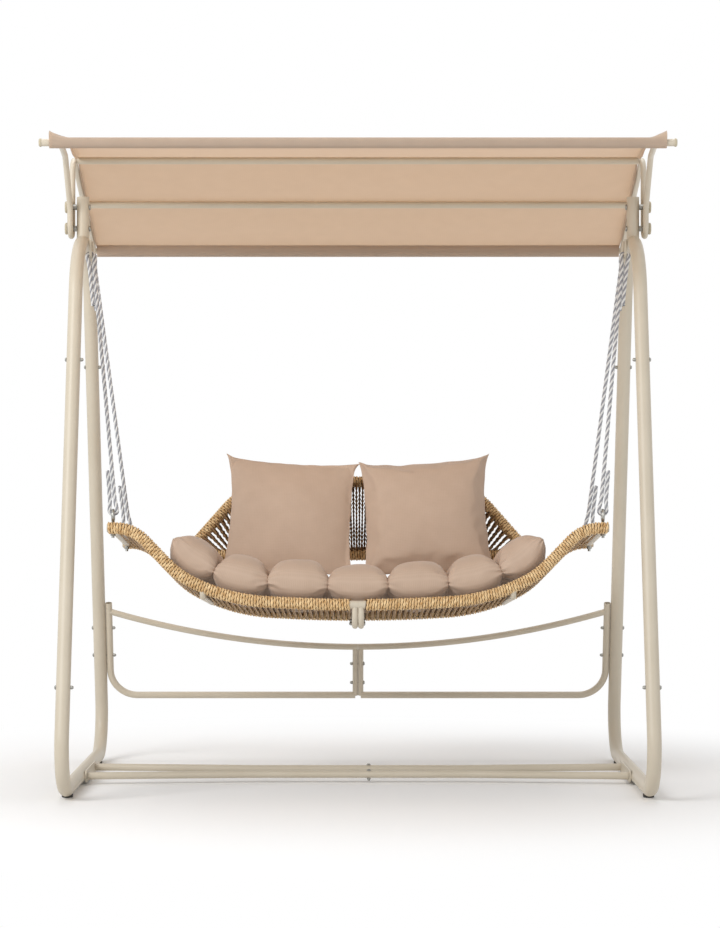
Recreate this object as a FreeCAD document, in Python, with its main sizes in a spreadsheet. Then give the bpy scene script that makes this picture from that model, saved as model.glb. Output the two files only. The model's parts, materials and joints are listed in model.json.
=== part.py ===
"""Two-seat garden swing: two A-frame sides, a tilting cloth canopy and a boat-shaped roped seat.

Millimetres, +X to the sitter's left as seen from the front, +Y to the back, +Z up.
The origin is on the floor, under the middle of the swing.
"""

import FreeCAD
import Part
import Sketcher
import math
import os
from FreeCAD import Placement, Rotation, Vector

DIMENSIONS = [
    ("side_x", 770, "centre plane of each A-frame side"),
    ("leg_radius", 19, "A-frame tube"),
    ("leg_wall", 1.5, "A-frame tube wall"),
    ("fit_clearance", 0.05, "tube spigots, bolts and welded seats"),
    ("apex_height", 1504, "tube centre at the arch's crown"),
    ("arch_radius", 200, "arch bend at the tube centre"),
    ("leg_angle", 15.8, "legs from the vertical, degrees"),
    ("arch_leg_run", 224, "straight end of the arch tube"),
    ("foot_leg_run", 163, "straight upper end of the foot, from the splice to its bend"),
    ("spigot_length", 80, "swaged end inside the next tube"),
    ("foot_bend_radius", 120, "bend of the foot at the tube centre"),
    ("foot_floor_run", 91, "straight end of the foot on the floor"),
    ("pad_height", 5, "foot pad under the tube"),
    ("pad_radius", 15, "foot pad"),
    ("pad_cup", 4, "how far the pad grips the tube's side"),
    ("pad_inset", 18, "foot pad from the end of the bend"),
    ("bolt_radius", 3, "frame bolt"),
    ("bolt_head_radius", 6, "frame bolt head"),
    ("bolt_head_height", 4, "frame bolt head"),
    ("bolt_nut_radius", 5, "dome nut"),
    ("bolt_nut_height", 8, "dome nut"),
    ("upper_bolt_offset", 24, "splice bolt above the upper splice"),
    ("lower_bolt_offset", 36, "front splice bolt below the lower splice"),
    ("post_radius", 17.5, "canopy post"),
    ("post_wall", 1.5, "canopy post wall"),
    ("post_cap", 28, "canopy post above the tilt axis"),
    ("hanger_bar_radius", 4, "rope hanger bar"),
    ("hanger_radius", 32, "rope hanger bend, about the swing axis"),
    ("hanger_axis_drop", 9, "swing axis below the tube centre at the crown"),
    ("hanger_leg", 16, "straight legs of the rope hanger"),
    ("brace_radius", 10, "cross brace tube"),
    ("brace_wall", 1.2, "cross brace tube wall"),
    ("brace_rail_radius", 9, "curved rail of the cross brace"),
    ("brace_gap", 0.3, "between the brace upright and the leg"),
    ("brace_top", 146, "top of the upright above the lower splice, along the leg"),
    ("brace_rail_end", 117, "curved rail's end above the lower splice"),
    ("brace_rail_middle", 8, "curved rail's middle above the lower splice"),
    ("brace_bottom", -145, "bottom rail, from the lower splice"),
    ("brace_corner_radius", 80, "round lower corner"),
    ("brace_upright_radius", 8, "centre upright tube"),
    ("brace_upper_bolt", 68, "upper brace bolt above the lower splice"),
    ("brace_lower_bolt", -18, "lower brace bolt, through the splice"),
    ("joint_gap", 0.3, "between the halves of brace, stretcher and seat"),
    ("centre_bolt_upper", -45, "upper centre bolt of the brace, from the lower splice"),
    ("centre_bolt_lower", -105, "lower centre bolt of the brace"),
    ("stretcher_radius", 10, "floor stretcher tube"),
    ("stretcher_wall", 1.2, "floor stretcher tube wall"),
    ("stretcher_end_spread", 220, "between the two tubes at the ends"),
    ("stretcher_mid_spread", 140, "between the two tubes at the middle"),
    ("stretcher_bend", 300, "where the tubes stop converging, from the middle"),
    ("stretcher_bend_radius", 600, "bend of the stretcher tubes"),
    ("stretcher_plate", 4, "end plate thickness"),
    ("stretcher_plate_height", 34, "end plate"),
    ("stretcher_plate_lap", 12, "end plate past the tube's side"),
    ("stretcher_spigot", 60, "swaged ends of the left half, inside the right half"),
    ("stretcher_bolt", 30, "joint bolt from the middle"),
    ("bracket_x", 803, "plane of the canopy bracket's hub"),
    ("bracket_radius", 8, "canopy bracket tube"),
    ("bracket_wall", 1.2, "canopy bracket tube wall"),
    ("bracket_bend", 30, "tight U of the bracket round the hub"),
    ("bracket_bend_rise", 9, "centre of the U above the clamp bolt"),
    ("bracket_knee_drop", 4, "front arm leans forward from here, below the tilt axis"),
    ("bracket_knee_radius", 60, "bend at the knee"),
    ("bracket_front_y", -150, "front arm turns level here"),
    ("bracket_front_rise", 124, "corner of the front arm above the tilt axis"),
    ("bracket_front_radius", 80, "bend of the front arm"),
    ("bracket_front_x", 762, "where the front arm meets the front rail"),
    ("bracket_top_rise", 159, "corner of the rear arm above the tilt axis"),
    ("bracket_top_radius", 45, "bend of the rear arm"),
    ("hub_plate", 5, "hub plate thickness"),
    ("hub_top", 22, "hub plate above the pivot"),
    ("hub_weld", 0.8, "hub plate into the tube's wall"),
    ("clamp_rise", 21, "clamp bolt above the top of the arch"),
    ("clamp_drop", 60, "clamp bolt below the pivot"),
    ("tilt_angle", 10, "tilt each way, degrees"),
    ("pivot_bolt_radius", 4, "pivot and clamp bolts"),
    ("pivot_hole_clearance", 0.1, "round the pivot and clamp bolts"),
    ("spacer_radius", 8, "spacer between post and bracket"),
    ("running_gap", 0.3, "between faces that slide"),
    ("knob_radius", 16.5, "clamp knob"),
    ("knob_thickness", 7, "clamp knob disc"),
    ("knob_neck_radius", 8, "clamp knob neck"),
    ("knob_disc_gap", 2, "knob disc off the bracket tube"),
    ("knob_depth", 9, "blind hole of the knob"),
    ("rail_radius", 9.5, "canopy rail"),
    ("rail_wall", 1.2, "canopy rail wall"),
    ("front_rail_y", -628, "front rail"),
    ("front_rail_rise", 101, "front rail above the tilt axis"),
    ("front_rail_half", 811, "half of the front rail, without its plug"),
    ("rear_rail_y", 628, "rear rail"),
    ("rear_rail_drop", 68, "rear rail below the tilt axis"),
    ("rear_rail_overhang", 1, "rear rail past the bracket, without its plug"),
    ("rear_middle_y", 340, "rear middle rail"),
    ("plug_radius", 11, "rail end plug"),
    ("plug_length", 6, "rail end plug outside the rail"),
    ("plug_depth", 15, "rail end plug inside the rail"),
    ("cloth_half", 790, "half of the cloth's width"),
    ("cloth_thickness", 1.2, "canopy cloth"),
    ("cloth_gap", 0.4, "cloth round the rails"),
    ("notch_front_x", 745, "cloth edge at the front rail"),
    ("notch_width", 34, "gap in the front hem for the bracket arm"),
    ("seat_tilt", 6.5, "seat leans back, degrees"),
    ("seat_height", 480, "middle of the seat, at the low point of its rims"),
    ("seat_y", -90, "middle of the seat from the swing axis"),
    ("rim_half_depth", 235, "front and rear rim from the middle of the seat"),
    ("rim_radius", 11, "seat rim tube"),
    ("seat_wall", 1.5, "seat tube wall"),
    ("rim_flat_radius", 3900, "rim: nearly flat middle"),
    ("rim_flat_angle", 3.7, "rim: slope at the end of the flat middle, degrees"),
    ("rim_bend_radius", 500, "rim: first rise"),
    ("rim_bend_angle", 28, "rim: slope after the first rise, degrees"),
    ("rim_rise_radius", 220, "rim: second rise"),
    ("rim_rise_angle", 46, "rim: steepest slope, degrees"),
    ("rim_rise_run", 92, "rim: straight steep stretch"),
    ("rim_shoulder_radius", 108, "rim: shoulder at the end"),
    ("end_bar_x", 660, "seat end bar"),
    ("end_bar_radius", 10.5, "seat end bar"),
    ("rim_end_run", 14, "rim past the end bar"),
    ("rib_radius", 8, "cross rib"),
    ("rib_drop", 58, "centre rib below the front rim"),
    ("rib_bend_radius", 30, "centre rib's front corner"),
    ("mid_rib_x", 416, "middle rib of each half"),
    ("mid_rib_drop", 26, "middle rib below the front rim"),
    ("mid_rib_bend_radius", 14, "middle rib's front corner"),
    ("rib_rear_drop", 11, "cross rib's rear end below the rear rim's centre line"),
    ("wrap_radius", 16.5, "rim with its wrapping"),
    ("wrap_centre_gap", 16.6, "bare rim at the centre joint"),
    ("strand_pitch", 15, "seat strands along the rim"),
    ("strand_width", 8, "seat strand"),
    ("strand_thickness", 3, "seat strand"),
    ("strand_gap", 0.3, "strands off the wrapping"),
    ("seat_bolt_front", 60, "front centre joint bolt before the middle of the seat"),
    ("seat_bolt_rear", 140, "rear centre joint bolt behind the middle of the seat"),
    ("back_rake", 15, "back from the seat's own upright, degrees"),
    ("back_tube_radius", 10, "back frame tube"),
    ("back_top", 405, "crown of the back above the seat's low point"),
    ("back_crown_radius", 1500, "back crown arc"),
    ("back_crown_angle", 11.5, "half of the crown arc, degrees"),
    ("back_corner_radius", 130, "back corners"),
    ("back_side_angle", 51, "slope of the back's sides, degrees"),
    ("back_rail_height", 180, "lower rail of the back"),
    ("back_strand_count", 61, "strands of the back"),
    ("back_strand_spread", 440, "half of the lower rail that the strands reach"),
    ("back_strand_width", 6, "strand of the back"),
    ("eye_bar_radius", 4, "eye bolt"),
    ("eye_radius", 16, "eye at the bar's centre"),
    ("eye_stand", 24, "eye's centre above the end bar"),
    ("eye_y", 213, "eye bolts from the middle of the seat"),
    ("eye_tail", 14, "eye bolt below the end bar"),
    ("washer_radius", 8, "washer"),
    ("washer_height", 1.5, "washer"),
    ("nut_radius", 7, "nut"),
    ("nut_height", 6.5, "nut"),
    ("rope_radius", 5.7, "rope"),
    ("rope_gap", 0.3, "rope off the bars it goes round"),
    ("rope_flare_radius", 20, "rope opening out to its loop"),
    ("rope_top_tail", 150, "doubled rope under the hanger"),
    ("rope_low_tail", 115, "doubled rope above the eye"),
    ("cushion_channels", 7, "channels of the seat cushion"),
    ("channel_pitch", 165, "channel along the rim"),
    ("cushion_seam", 40, "channel seams above the strands' plane"),
    ("seam_thickness", 8, "pad at its channel seams"),
    ("cushion_top", 110, "crests above the strands' plane"),
    ("cushion_base", 2.2, "lowest of the cushion above the strands' plane"),
    ("cushion_half_depth", 212, "half of the cushion, front to back"),
    ("pillow_half", 186, "half of a pillow's side, at its corners"),
    ("pillow_hollow", 14, "how far a pillow's edges draw in"),
    ("pillow_thickness", 130, "pillow's crown, both faces"),
    ("pillow_x", 194, "pillow's centre"),
    ("pillow_lean", 27, "pillow from the seat's upright, degrees"),
    ("pillow_roll", 2, "pillow's outer side up, degrees"),
    ("pillow_y", 173, "pillow's centre behind the middle of the seat"),
    ("pillow_z", 282, "pillow's centre above the seat's low point"),
]

DERIVED = [
    ("leg_top_height", "apex_height - arch_radius + arch_radius * sin(leg_angle * 1deg)"),
    ("leg_run", "(leg_top_height - pad_height - leg_radius) / cos(leg_angle * 1deg)"),
    ("foot_reach", "foot_bend_radius * tan((90 + leg_angle) / 2 * 1deg)"),
    ("middle_leg_length", "leg_run - foot_reach - foot_leg_run - arch_leg_run"),
    ("foot_corner_reach", "arch_radius * cos(leg_angle * 1deg) + leg_run * sin(leg_angle * 1deg)"),
    ("floor_tube_length", "2 * (foot_corner_reach - foot_reach - foot_floor_run)"),
    ("hanger_axis_height", "apex_height - hanger_axis_drop"),
    ("pivot_height", "apex_height + leg_radius + clamp_rise + clamp_drop"),
    ("post_height", "pivot_height + post_cap"),
    ("bracket_bend_height", "pivot_height - clamp_drop + bracket_bend_rise"),
    ("bracket_knee_height", "pivot_height - bracket_knee_drop"),
    ("bracket_front_height", "pivot_height + bracket_front_rise"),
    ("bracket_top_height", "pivot_height + bracket_top_rise"),
    ("front_rail_height", "pivot_height + front_rail_rise"),
    ("rear_rail_height", "pivot_height - rear_rail_drop"),
    ("rear_rail_half", "bracket_x + bracket_radius + rear_rail_overhang"),
]

X_AXIS = Vector(1, 0, 0)
Y_AXIS = Vector(0, 1, 0)
Z_AXIS = Vector(0, 0, 1)

doc = FreeCAD.newDocument("canopy_swing")
sheet = doc.addObject("Spreadsheet::Sheet", "Dimensions")
for row, (alias, number, note) in enumerate(DIMENSIONS, start=1):
    sheet.set(f"A{row}", str(number))
    sheet.set(f"B{row}", note)
    sheet.setAlias(f"A{row}", alias)
for row, (alias, formula) in enumerate(DERIVED, start=len(DIMENSIONS) + 1):
    sheet.set(f"A{row}", f"={formula}")
    sheet.setAlias(f"A{row}", alias)
    doc.recompute()

NODES = {}


def dim(alias):
    """A driving dimension, from the sheet."""
    return float(sheet.get(alias))


def keep(label, thing):
    """Names a finished piece, so that it is written as a node."""
    thing.Label = label
    NODES[label] = thing
    return thing


def feature(name, shape):
    """A piece whose shape comes straight from Part's functions."""
    thing = doc.addObject("Part::Feature", name)
    thing.Shape = shape
    return thing


def mirrored(label, source, normal):
    """The same piece on the other side of the swing's middle."""
    thing = doc.addObject("Part::Mirroring", label)
    thing.Source = source
    thing.Normal = normal
    thing.Base = Vector(0, 0, 0)
    return keep(label, thing)


def both_sides(stem, right):
    """A right-hand piece and its left-hand mirror image."""
    keep(f"{stem}_right", right)
    return mirrored(f"{stem}_left", right, X_AXIS)


def cylinder(name, radius, height, place):
    """A cylinder whose radius and height are expressions on the sheet."""
    thing = doc.addObject("Part::Cylinder", name)
    thing.setExpression("Radius", radius)
    thing.setExpression("Height", height)
    thing.Placement = place
    return thing


def cut(name, base, *tools):
    """One piece less some others."""
    tool = tools[0]
    if len(tools) > 1:
        tool = doc.addObject("Part::MultiFuse", f"{name}_tools")
        tool.Shapes = list(tools)
    thing = doc.addObject("Part::Cut", name)
    thing.Base = base
    thing.Tool = tool
    return thing


def along(axis, point):
    """A placement that turns local Z onto axis, at point."""
    return Placement(point, Rotation(Z_AXIS, axis))


def sketch_polygon(body, name, role, corners):
    """A closed outline whose corners are pairs of expressions, each bound to the sheet."""
    sketch = body.newObject("Sketcher::SketchObject", name)
    plane = [f for f in body.Origin.OriginFeatures if f.Role == role][0]
    sketch.AttachmentSupport = [(plane, "")]
    sketch.MapMode = "FlatFace"
    spots = [Vector(*(float(sheet.evalExpression(e)) for e in pair), 0) for pair in corners]
    for start, end in zip(spots, spots[1:] + spots[:1]):
        sketch.addGeometry(Part.LineSegment(start, end), False)
    for i in range(len(corners)):
        sketch.addConstraint(Sketcher.Constraint("Coincident", i, 2, (i + 1) % len(corners), 1))
    for i, (pair, spot) in enumerate(zip(corners, spots)):
        for kind, axis, expression, value in (
            ("DistanceX", -2, pair[0], spot.x),
            ("DistanceY", -1, pair[1], spot.y),
        ):
            if expression == "0":
                sketch.addConstraint(Sketcher.Constraint("PointOnObject", i, 1, axis))
            else:
                n = sketch.addConstraint(Sketcher.Constraint(kind, -1, 1, i, 1, value))
                sketch.setExpression(f"Constraints[{n}]", expression)
    return sketch


def turned(name, corners):
    """A body turned about its own Z axis from a half section (radius, height)."""
    body = doc.addObject("PartDesign::Body", name)
    sketch = sketch_polygon(body, f"{name}_section", "XZ_Plane", corners)
    turning = body.newObject("PartDesign::Revolution", f"{name}_turning")
    turning.Profile = sketch
    turning.ReferenceAxis = (sketch, ["V_Axis"])
    turning.Angle = 360
    sketch.Visibility = False
    return body


def bent_path(points, radii):
    """Straight runs joined by tangent arcs, one radius for each inner point."""
    edges = []
    start = points[0]
    for before, corner, after, radius in zip(points, points[1:], points[2:], radii):
        into = (corner - before).normalize()
        out = (after - corner).normalize()
        half_turn = into.getAngle(out) / 2
        reach = radius * math.tan(half_turn)
        first = corner - into * reach
        last = corner + out * reach
        inward = (out - into).normalize()
        middle = corner + inward * (radius / math.cos(half_turn) - radius)
        if (first - start).Length > 1e-6:
            edges.append(Part.LineSegment(start, first).toShape())
        edges.append(Part.Arc(first, middle, last).toShape())
        start = last
    edges.append(Part.LineSegment(start, points[-1]).toShape())
    return Part.Wire(edges)


def rod(path, radius):
    """A round bar along a path."""
    edge = path.OrderedEdges[0]
    start = edge.valueAt(edge.FirstParameter)
    heading = edge.tangentAt(edge.FirstParameter)
    ring = Part.Wire([Part.makeCircle(radius, start, heading)])
    return path.makePipeShell([ring], True, False)


def tube(path, radius, wall):
    """A round tube along a path."""
    return rod(path, radius).cut(rod(path, radius - wall))


def straight_rod(start, end, radius):
    """A round bar from one point to another."""
    run = end - start
    return Part.makeCylinder(radius, run.Length, start, run)


def flip_x(shape):
    """The mirror image on the other side of the middle."""
    return shape.mirror(Vector(0, 0, 0), X_AXIS)


def flip_y(shape):
    """The mirror image, front to back."""
    return shape.mirror(Vector(0, 0, 0), Y_AXIS)


# A-frame sides: the line of the front leg, from the arch down to the floor.

SIDE_X = dim("side_x")
LEG_ANGLE = math.radians(dim("leg_angle"))
LEG_RADIUS = dim("leg_radius")
FIT = dim("fit_clearance")
ARCH_CENTRE = Vector(SIDE_X, 0, dim("apex_height") - dim("arch_radius"))
LEG_DOWN = Vector(0, -math.sin(LEG_ANGLE), -math.cos(LEG_ANGLE))
LEG_TOP = ARCH_CENTRE + Vector(0, -math.cos(LEG_ANGLE), math.sin(LEG_ANGLE)) * dim("arch_radius")
FLOOR_TUBE_Z = dim("pad_height") + LEG_RADIUS
UPPER_SPLICE = dim("arch_leg_run")
LOWER_SPLICE = UPPER_SPLICE + dim("middle_leg_length")
FOOT_CORNER = LEG_TOP + LEG_DOWN * dim("leg_run")
FOOT_BEND_END = FOOT_CORNER + Y_AXIS * dim("foot_reach")
FOOT_END = FOOT_BEND_END + Y_AXIS * dim("foot_floor_run")


def leg_point(distance):
    """A point on the front leg's centre line, by its distance below the arch bend."""
    return LEG_TOP + LEG_DOWN * distance


def back_to_front(point):
    """The same point on the rear leg."""
    return Vector(point.x, -point.y, point.z)


def cross_hole(name, point, radius="Dimensions.bolt_radius + Dimensions.fit_clearance"):
    """A hole along X through a leg tube."""
    start = point - X_AXIS * LEG_RADIUS * 2
    return cylinder(name, radius, "4 * Dimensions.leg_radius", along(X_AXIS, start))


UPPER_BOLT = leg_point(UPPER_SPLICE - dim("upper_bolt_offset"))
FRONT_LOWER_BOLT = leg_point(LOWER_SPLICE + dim("lower_bolt_offset"))
BRACE_UPPER_BOLT = back_to_front(leg_point(LOWER_SPLICE - dim("brace_upper_bolt")))
BRACE_LOWER_BOLT = back_to_front(leg_point(LOWER_SPLICE - dim("brace_lower_bolt")))


def make_arch():
    """Upper tube of one side: two straight ends and the rounded crown."""
    front = leg_point(UPPER_SPLICE)
    path = Part.Wire([
        Part.LineSegment(front, LEG_TOP).toShape(),
        Part.Arc(LEG_TOP, ARCH_CENTRE + Z_AXIS * dim("arch_radius"), back_to_front(LEG_TOP)).toShape(),
        Part.LineSegment(back_to_front(LEG_TOP), back_to_front(front)).toShape(),
    ])
    bent = feature("arch_bent", tube(path, LEG_RADIUS, dim("leg_wall")))
    holes = [
        cross_hole("arch_hole_front", UPPER_BOLT),
        cross_hole("arch_hole_rear", back_to_front(UPPER_BOLT)),
    ]
    both_sides("arch_tube", cut("arch_tube_right", bent, *holes))


def make_posts():
    """Canopy post: a capped stub, shaped below to sit on the arch's crown."""
    post = turned("post_turned", [
        ("0", "Dimensions.post_height"),
        ("0", "Dimensions.post_height - Dimensions.post_wall"),
        ("Dimensions.post_radius - Dimensions.post_wall", "Dimensions.post_height - Dimensions.post_wall"),
        ("Dimensions.post_radius - Dimensions.post_wall", "Dimensions.apex_height"),
        ("Dimensions.post_radius", "Dimensions.apex_height"),
        ("Dimensions.post_radius", "Dimensions.post_height"),
    ])
    post.Placement = Placement(Vector(SIDE_X, 0, 0), Rotation())
    crown = doc.addObject("Part::Torus", "post_saddle")
    crown.setExpression("Radius1", "Dimensions.arch_radius")
    crown.setExpression("Radius2", "Dimensions.leg_radius + Dimensions.fit_clearance")
    crown.Placement = along(X_AXIS, ARCH_CENTRE)
    size = "Dimensions.pivot_bolt_radius + Dimensions.pivot_hole_clearance"
    pivot = Vector(SIDE_X, 0, dim("pivot_height"))
    holes = [
        cross_hole("post_hole_pivot", pivot, size),
        cross_hole("post_hole_clamp", pivot - Z_AXIS * dim("clamp_drop"), size),
    ]
    both_sides("canopy_post", cut("canopy_post_right", post, crown, *holes))


def swaged_tube(name, length):
    """Straight tube with a narrowed spigot at each end; length is an expression."""
    spigot = "Dimensions.leg_radius - Dimensions.leg_wall - Dimensions.fit_clearance"
    bore = f"{spigot} - Dimensions.leg_wall"
    return turned(name, [
        (bore, "-Dimensions.spigot_length"),
        (spigot, "-Dimensions.spigot_length"),
        (spigot, "0"),
        ("Dimensions.leg_radius", "0"),
        ("Dimensions.leg_radius", length),
        (spigot, length),
        (spigot, f"{length} + Dimensions.spigot_length"),
        (bore, f"{length} + Dimensions.spigot_length"),
    ])


def make_legs():
    """Middle legs: straight tubes that plug into the arch above and the foot below."""
    low = leg_point(LOWER_SPLICE)
    front = swaged_tube("front_leg_turned", "Dimensions.middle_leg_length")
    front.Placement = along(-LEG_DOWN, low)
    holes = [
        cross_hole("front_leg_hole_upper", UPPER_BOLT),
        cross_hole("front_leg_hole_lower", FRONT_LOWER_BOLT),
    ]
    both_sides("front_leg", cut("front_leg_right", front, *holes))

    rear = swaged_tube("rear_leg_turned", "Dimensions.middle_leg_length")
    rear.Placement = along(back_to_front(-LEG_DOWN), back_to_front(low))
    holes = [
        cross_hole("rear_leg_hole_upper", back_to_front(UPPER_BOLT)),
        cross_hole("rear_leg_hole_brace", BRACE_UPPER_BOLT),
        cross_hole("rear_leg_hole_lower", BRACE_LOWER_BOLT),
    ]
    both_sides("rear_leg", cut("rear_leg_right", rear, *holes))


def make_feet():
    """Feet: the lower leg tubes, bent round to lie along the floor."""
    path = bent_path(
        [leg_point(LOWER_SPLICE), FOOT_CORNER, FOOT_END],
        [dim("foot_bend_radius")],
    )
    bent = tube(path, LEG_RADIUS, dim("leg_wall"))
    hole = cross_hole("foot_hole_front", FRONT_LOWER_BOLT)
    front = cut("front_foot_right", feature("front_foot_bent", bent), hole)
    both_sides("front_foot", front)
    rear_bent = feature("rear_foot_bent", flip_y(bent))
    both_sides("rear_foot", cut("rear_foot_right", rear_bent, cross_hole("foot_hole_rear", BRACE_LOWER_BOLT)))


def make_floor_tubes():
    """Side floor tube, plugged into the two feet of its side."""
    span = swaged_tube("floor_tube_turned", "Dimensions.floor_tube_length")
    span.Placement = along(Y_AXIS, FOOT_END)
    both_sides("side_floor_tube", span)


def make_foot_pads():
    """Pads under the feet, cupped to the tube."""
    pad = turned("pad_turned", [
        ("0", "0"),
        ("Dimensions.pad_radius - 2", "0"),
        ("Dimensions.pad_radius", "2"),
        ("Dimensions.pad_radius", "Dimensions.pad_height + Dimensions.pad_cup"),
        ("0", "Dimensions.pad_height + Dimensions.pad_cup"),
    ])
    spot = Vector(SIDE_X, FOOT_BEND_END.y + dim("pad_inset"), 0)
    pad.Placement = Placement(spot, Rotation())
    seat = cylinder(
        "pad_cup", "Dimensions.leg_radius + Dimensions.fit_clearance", "4 * Dimensions.pad_radius",
        along(Y_AXIS, Vector(SIDE_X, spot.y - 2 * dim("pad_radius"), FLOOR_TUBE_Z)),
    )
    cupped = cut("pad_cupped", pad, seat)
    doc.recompute()
    one = cupped.Shape
    pair = [one, flip_y(one)]
    keep("foot_pads", feature("foot_pads", Part.makeCompound(pair + [flip_x(s) for s in pair])))


def make_hangers():
    """Rope hangers: a U of bar on the arch's inner face, bent about the swing axis."""
    bar = dim("hanger_bar_radius")
    bend = dim("hanger_radius")
    plane_x = SIDE_X - LEG_RADIUS - bar - FIT
    axis = Vector(plane_x, 0, dim("hanger_axis_height"))
    front = axis - Y_AXIS * bend
    rear = axis + Y_AXIS * bend
    rise = Z_AXIS * dim("hanger_leg")
    path = Part.Wire([
        Part.LineSegment(front + rise, front).toShape(),
        Part.Arc(front, axis - Z_AXIS * bend, rear).toShape(),
        Part.LineSegment(rear, rear + rise).toShape(),
    ])
    both_sides("rope_hanger", feature("rope_hanger_right", rod(path, bar)))


# Rear cross brace, drawn in the sloping plane of the rear legs: X across, and height along the leg.

BRACE_ORIGIN = back_to_front(leg_point(LOWER_SPLICE))
BRACE_UP = back_to_front(-LEG_DOWN)
BRACE_X = SIDE_X - LEG_RADIUS - dim("brace_gap") - dim("brace_radius")
BRACE_UPRIGHT_X = dim("brace_upright_radius") + dim("joint_gap") / 2


def brace_point(across, height):
    """A point of the brace's plane."""
    return Vector(across, BRACE_ORIGIN.y, BRACE_ORIGIN.z) + BRACE_UP * height


def brace_hole(name, point):
    """A hole along X through the brace's upright."""
    return cylinder(
        name, "Dimensions.bolt_radius + Dimensions.fit_clearance", "4 * Dimensions.brace_radius",
        along(X_AXIS, point - X_AXIS * dim("brace_radius") * 2),
    )


def make_brace():
    """Each half: a bent tube with its centre upright, and the curved rail above."""
    size = dim("brace_radius")
    wall = dim("brace_wall")
    bottom = dim("brace_bottom")
    middle = dim("brace_rail_middle")
    path = bent_path(
        [
            brace_point(BRACE_X, dim("brace_top")),
            brace_point(BRACE_X, bottom),
            brace_point(BRACE_UPRIGHT_X, bottom),
        ],
        [dim("brace_corner_radius")],
    )
    rail_end_x = BRACE_X - size - FIT
    sag = dim("brace_rail_end") - middle
    rail_radius = (rail_end_x**2 + sag**2) / (2 * sag)

    def rail_height(across):
        """Height of the curved rail's centre line."""
        return middle + rail_radius - math.sqrt(rail_radius**2 - across**2)

    def rail_arc(start, end):
        """The curved rail's centre line between two places across."""
        spots = [brace_point(across, rail_height(across)) for across in (start, (start + end) / 2, end)]
        return Part.Wire([Part.Arc(*spots).toShape()])

    upright = [
        brace_point(BRACE_UPRIGHT_X, bottom),
        brace_point(BRACE_UPRIGHT_X, rail_height(BRACE_UPRIGHT_X)),
    ]
    small = dim("brace_upright_radius")
    rail_size = dim("brace_rail_radius")
    saddle = rod(rail_arc(-small, 4 * small), rail_size + FIT)
    outer = rod(path, size).fuse(straight_rod(*upright, small).cut(saddle))
    inner = rod(path, size - wall).fuse(straight_rod(*upright, small - wall))
    frame = feature("brace_frame_bent", outer.cut(inner))
    holes = [
        brace_hole("brace_hole_upper", brace_point(BRACE_X, dim("brace_upper_bolt"))),
        brace_hole("brace_hole_lower", brace_point(BRACE_X, dim("brace_lower_bolt"))),
        brace_hole("brace_hole_centre_upper", brace_point(BRACE_UPRIGHT_X, dim("centre_bolt_upper"))),
        brace_hole("brace_hole_centre_lower", brace_point(BRACE_UPRIGHT_X, dim("centre_bolt_lower"))),
    ]
    both_sides("brace_frame", cut("brace_frame_right", frame, *holes))
    cope = straight_rod(brace_point(BRACE_X, bottom), brace_point(BRACE_X, 2 * dim("brace_top")), size + FIT)
    rail = tube(rail_arc(dim("joint_gap") / 2, BRACE_X), rail_size, wall).cut(cope)
    both_sides("brace_curved_rail", feature("brace_curved_rail_right", rail))


STRETCHER_END = SIDE_X - LEG_RADIUS - FIT - dim("stretcher_plate")


def make_stretcher():
    """Each half: two tubes that draw together towards the middle, welded to an end plate."""
    size = dim("stretcher_radius")
    wall = dim("stretcher_wall")
    near = dim("joint_gap") / 2
    end_y = dim("stretcher_end_spread") / 2
    middle_y = dim("stretcher_mid_spread") / 2
    bend_x = dim("stretcher_bend")
    half_plate = end_y + size + dim("stretcher_plate_lap")
    plate = Part.makeBox(
        dim("stretcher_plate"), 2 * half_plate, dim("stretcher_plate_height"),
        Vector(STRETCHER_END, -half_plate, FLOOR_TUBE_Z - dim("stretcher_plate_height") / 2),
    )
    ends = [edge for edge in plate.Edges if edge.Vertexes[0].X != edge.Vertexes[1].X]
    half = plate.makeFillet(dim("stretcher_plate_height") * 0.4, ends)
    for sign in (-1, 1):
        path = bent_path(
            [
                Vector(near, sign * middle_y, FLOOR_TUBE_Z),
                Vector(bend_x, sign * middle_y, FLOOR_TUBE_Z),
                Vector(STRETCHER_END, sign * end_y, FLOOR_TUBE_Z),
            ],
            [dim("stretcher_bend_radius")],
        )
        trimmed = tube(path, size, wall).cut(plate)
        half = half.fuse(trimmed)
    spigot = size - wall - FIT
    plug_half = flip_x(half)
    for sign in (-1, 1):
        root = Vector(-near - wall, sign * middle_y, FLOOR_TUBE_Z)
        tip = Vector(dim("stretcher_spigot"), sign * middle_y, FLOOR_TUBE_Z)
        tail = straight_rod(root, tip, spigot).cut(straight_rod(root, tip, spigot - wall))
        plug_half = plug_half.fuse(tail)
        neck = straight_rod(root, root + X_AXIS * wall, size - wall / 2)
        plug_half = plug_half.fuse(neck.cut(straight_rod(root, root + X_AXIS * wall, spigot - wall)))
    for side, shape in (("right", half), ("left", plug_half)):
        holes = []
        for sign in (-1, 1):
            spot = Vector(dim("stretcher_bolt"), sign * middle_y, FLOOR_TUBE_Z - 2 * size)
            holes.append(cylinder(
                f"stretcher_hole_{side}_{sign + 1}", "Dimensions.bolt_radius + Dimensions.fit_clearance",
                "4 * Dimensions.stretcher_radius", Placement(spot, Rotation()),
            ))
        label = f"stretcher_half_{side}"
        keep(label, cut(label, feature(f"{label}_welded", shape), *holes))


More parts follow.
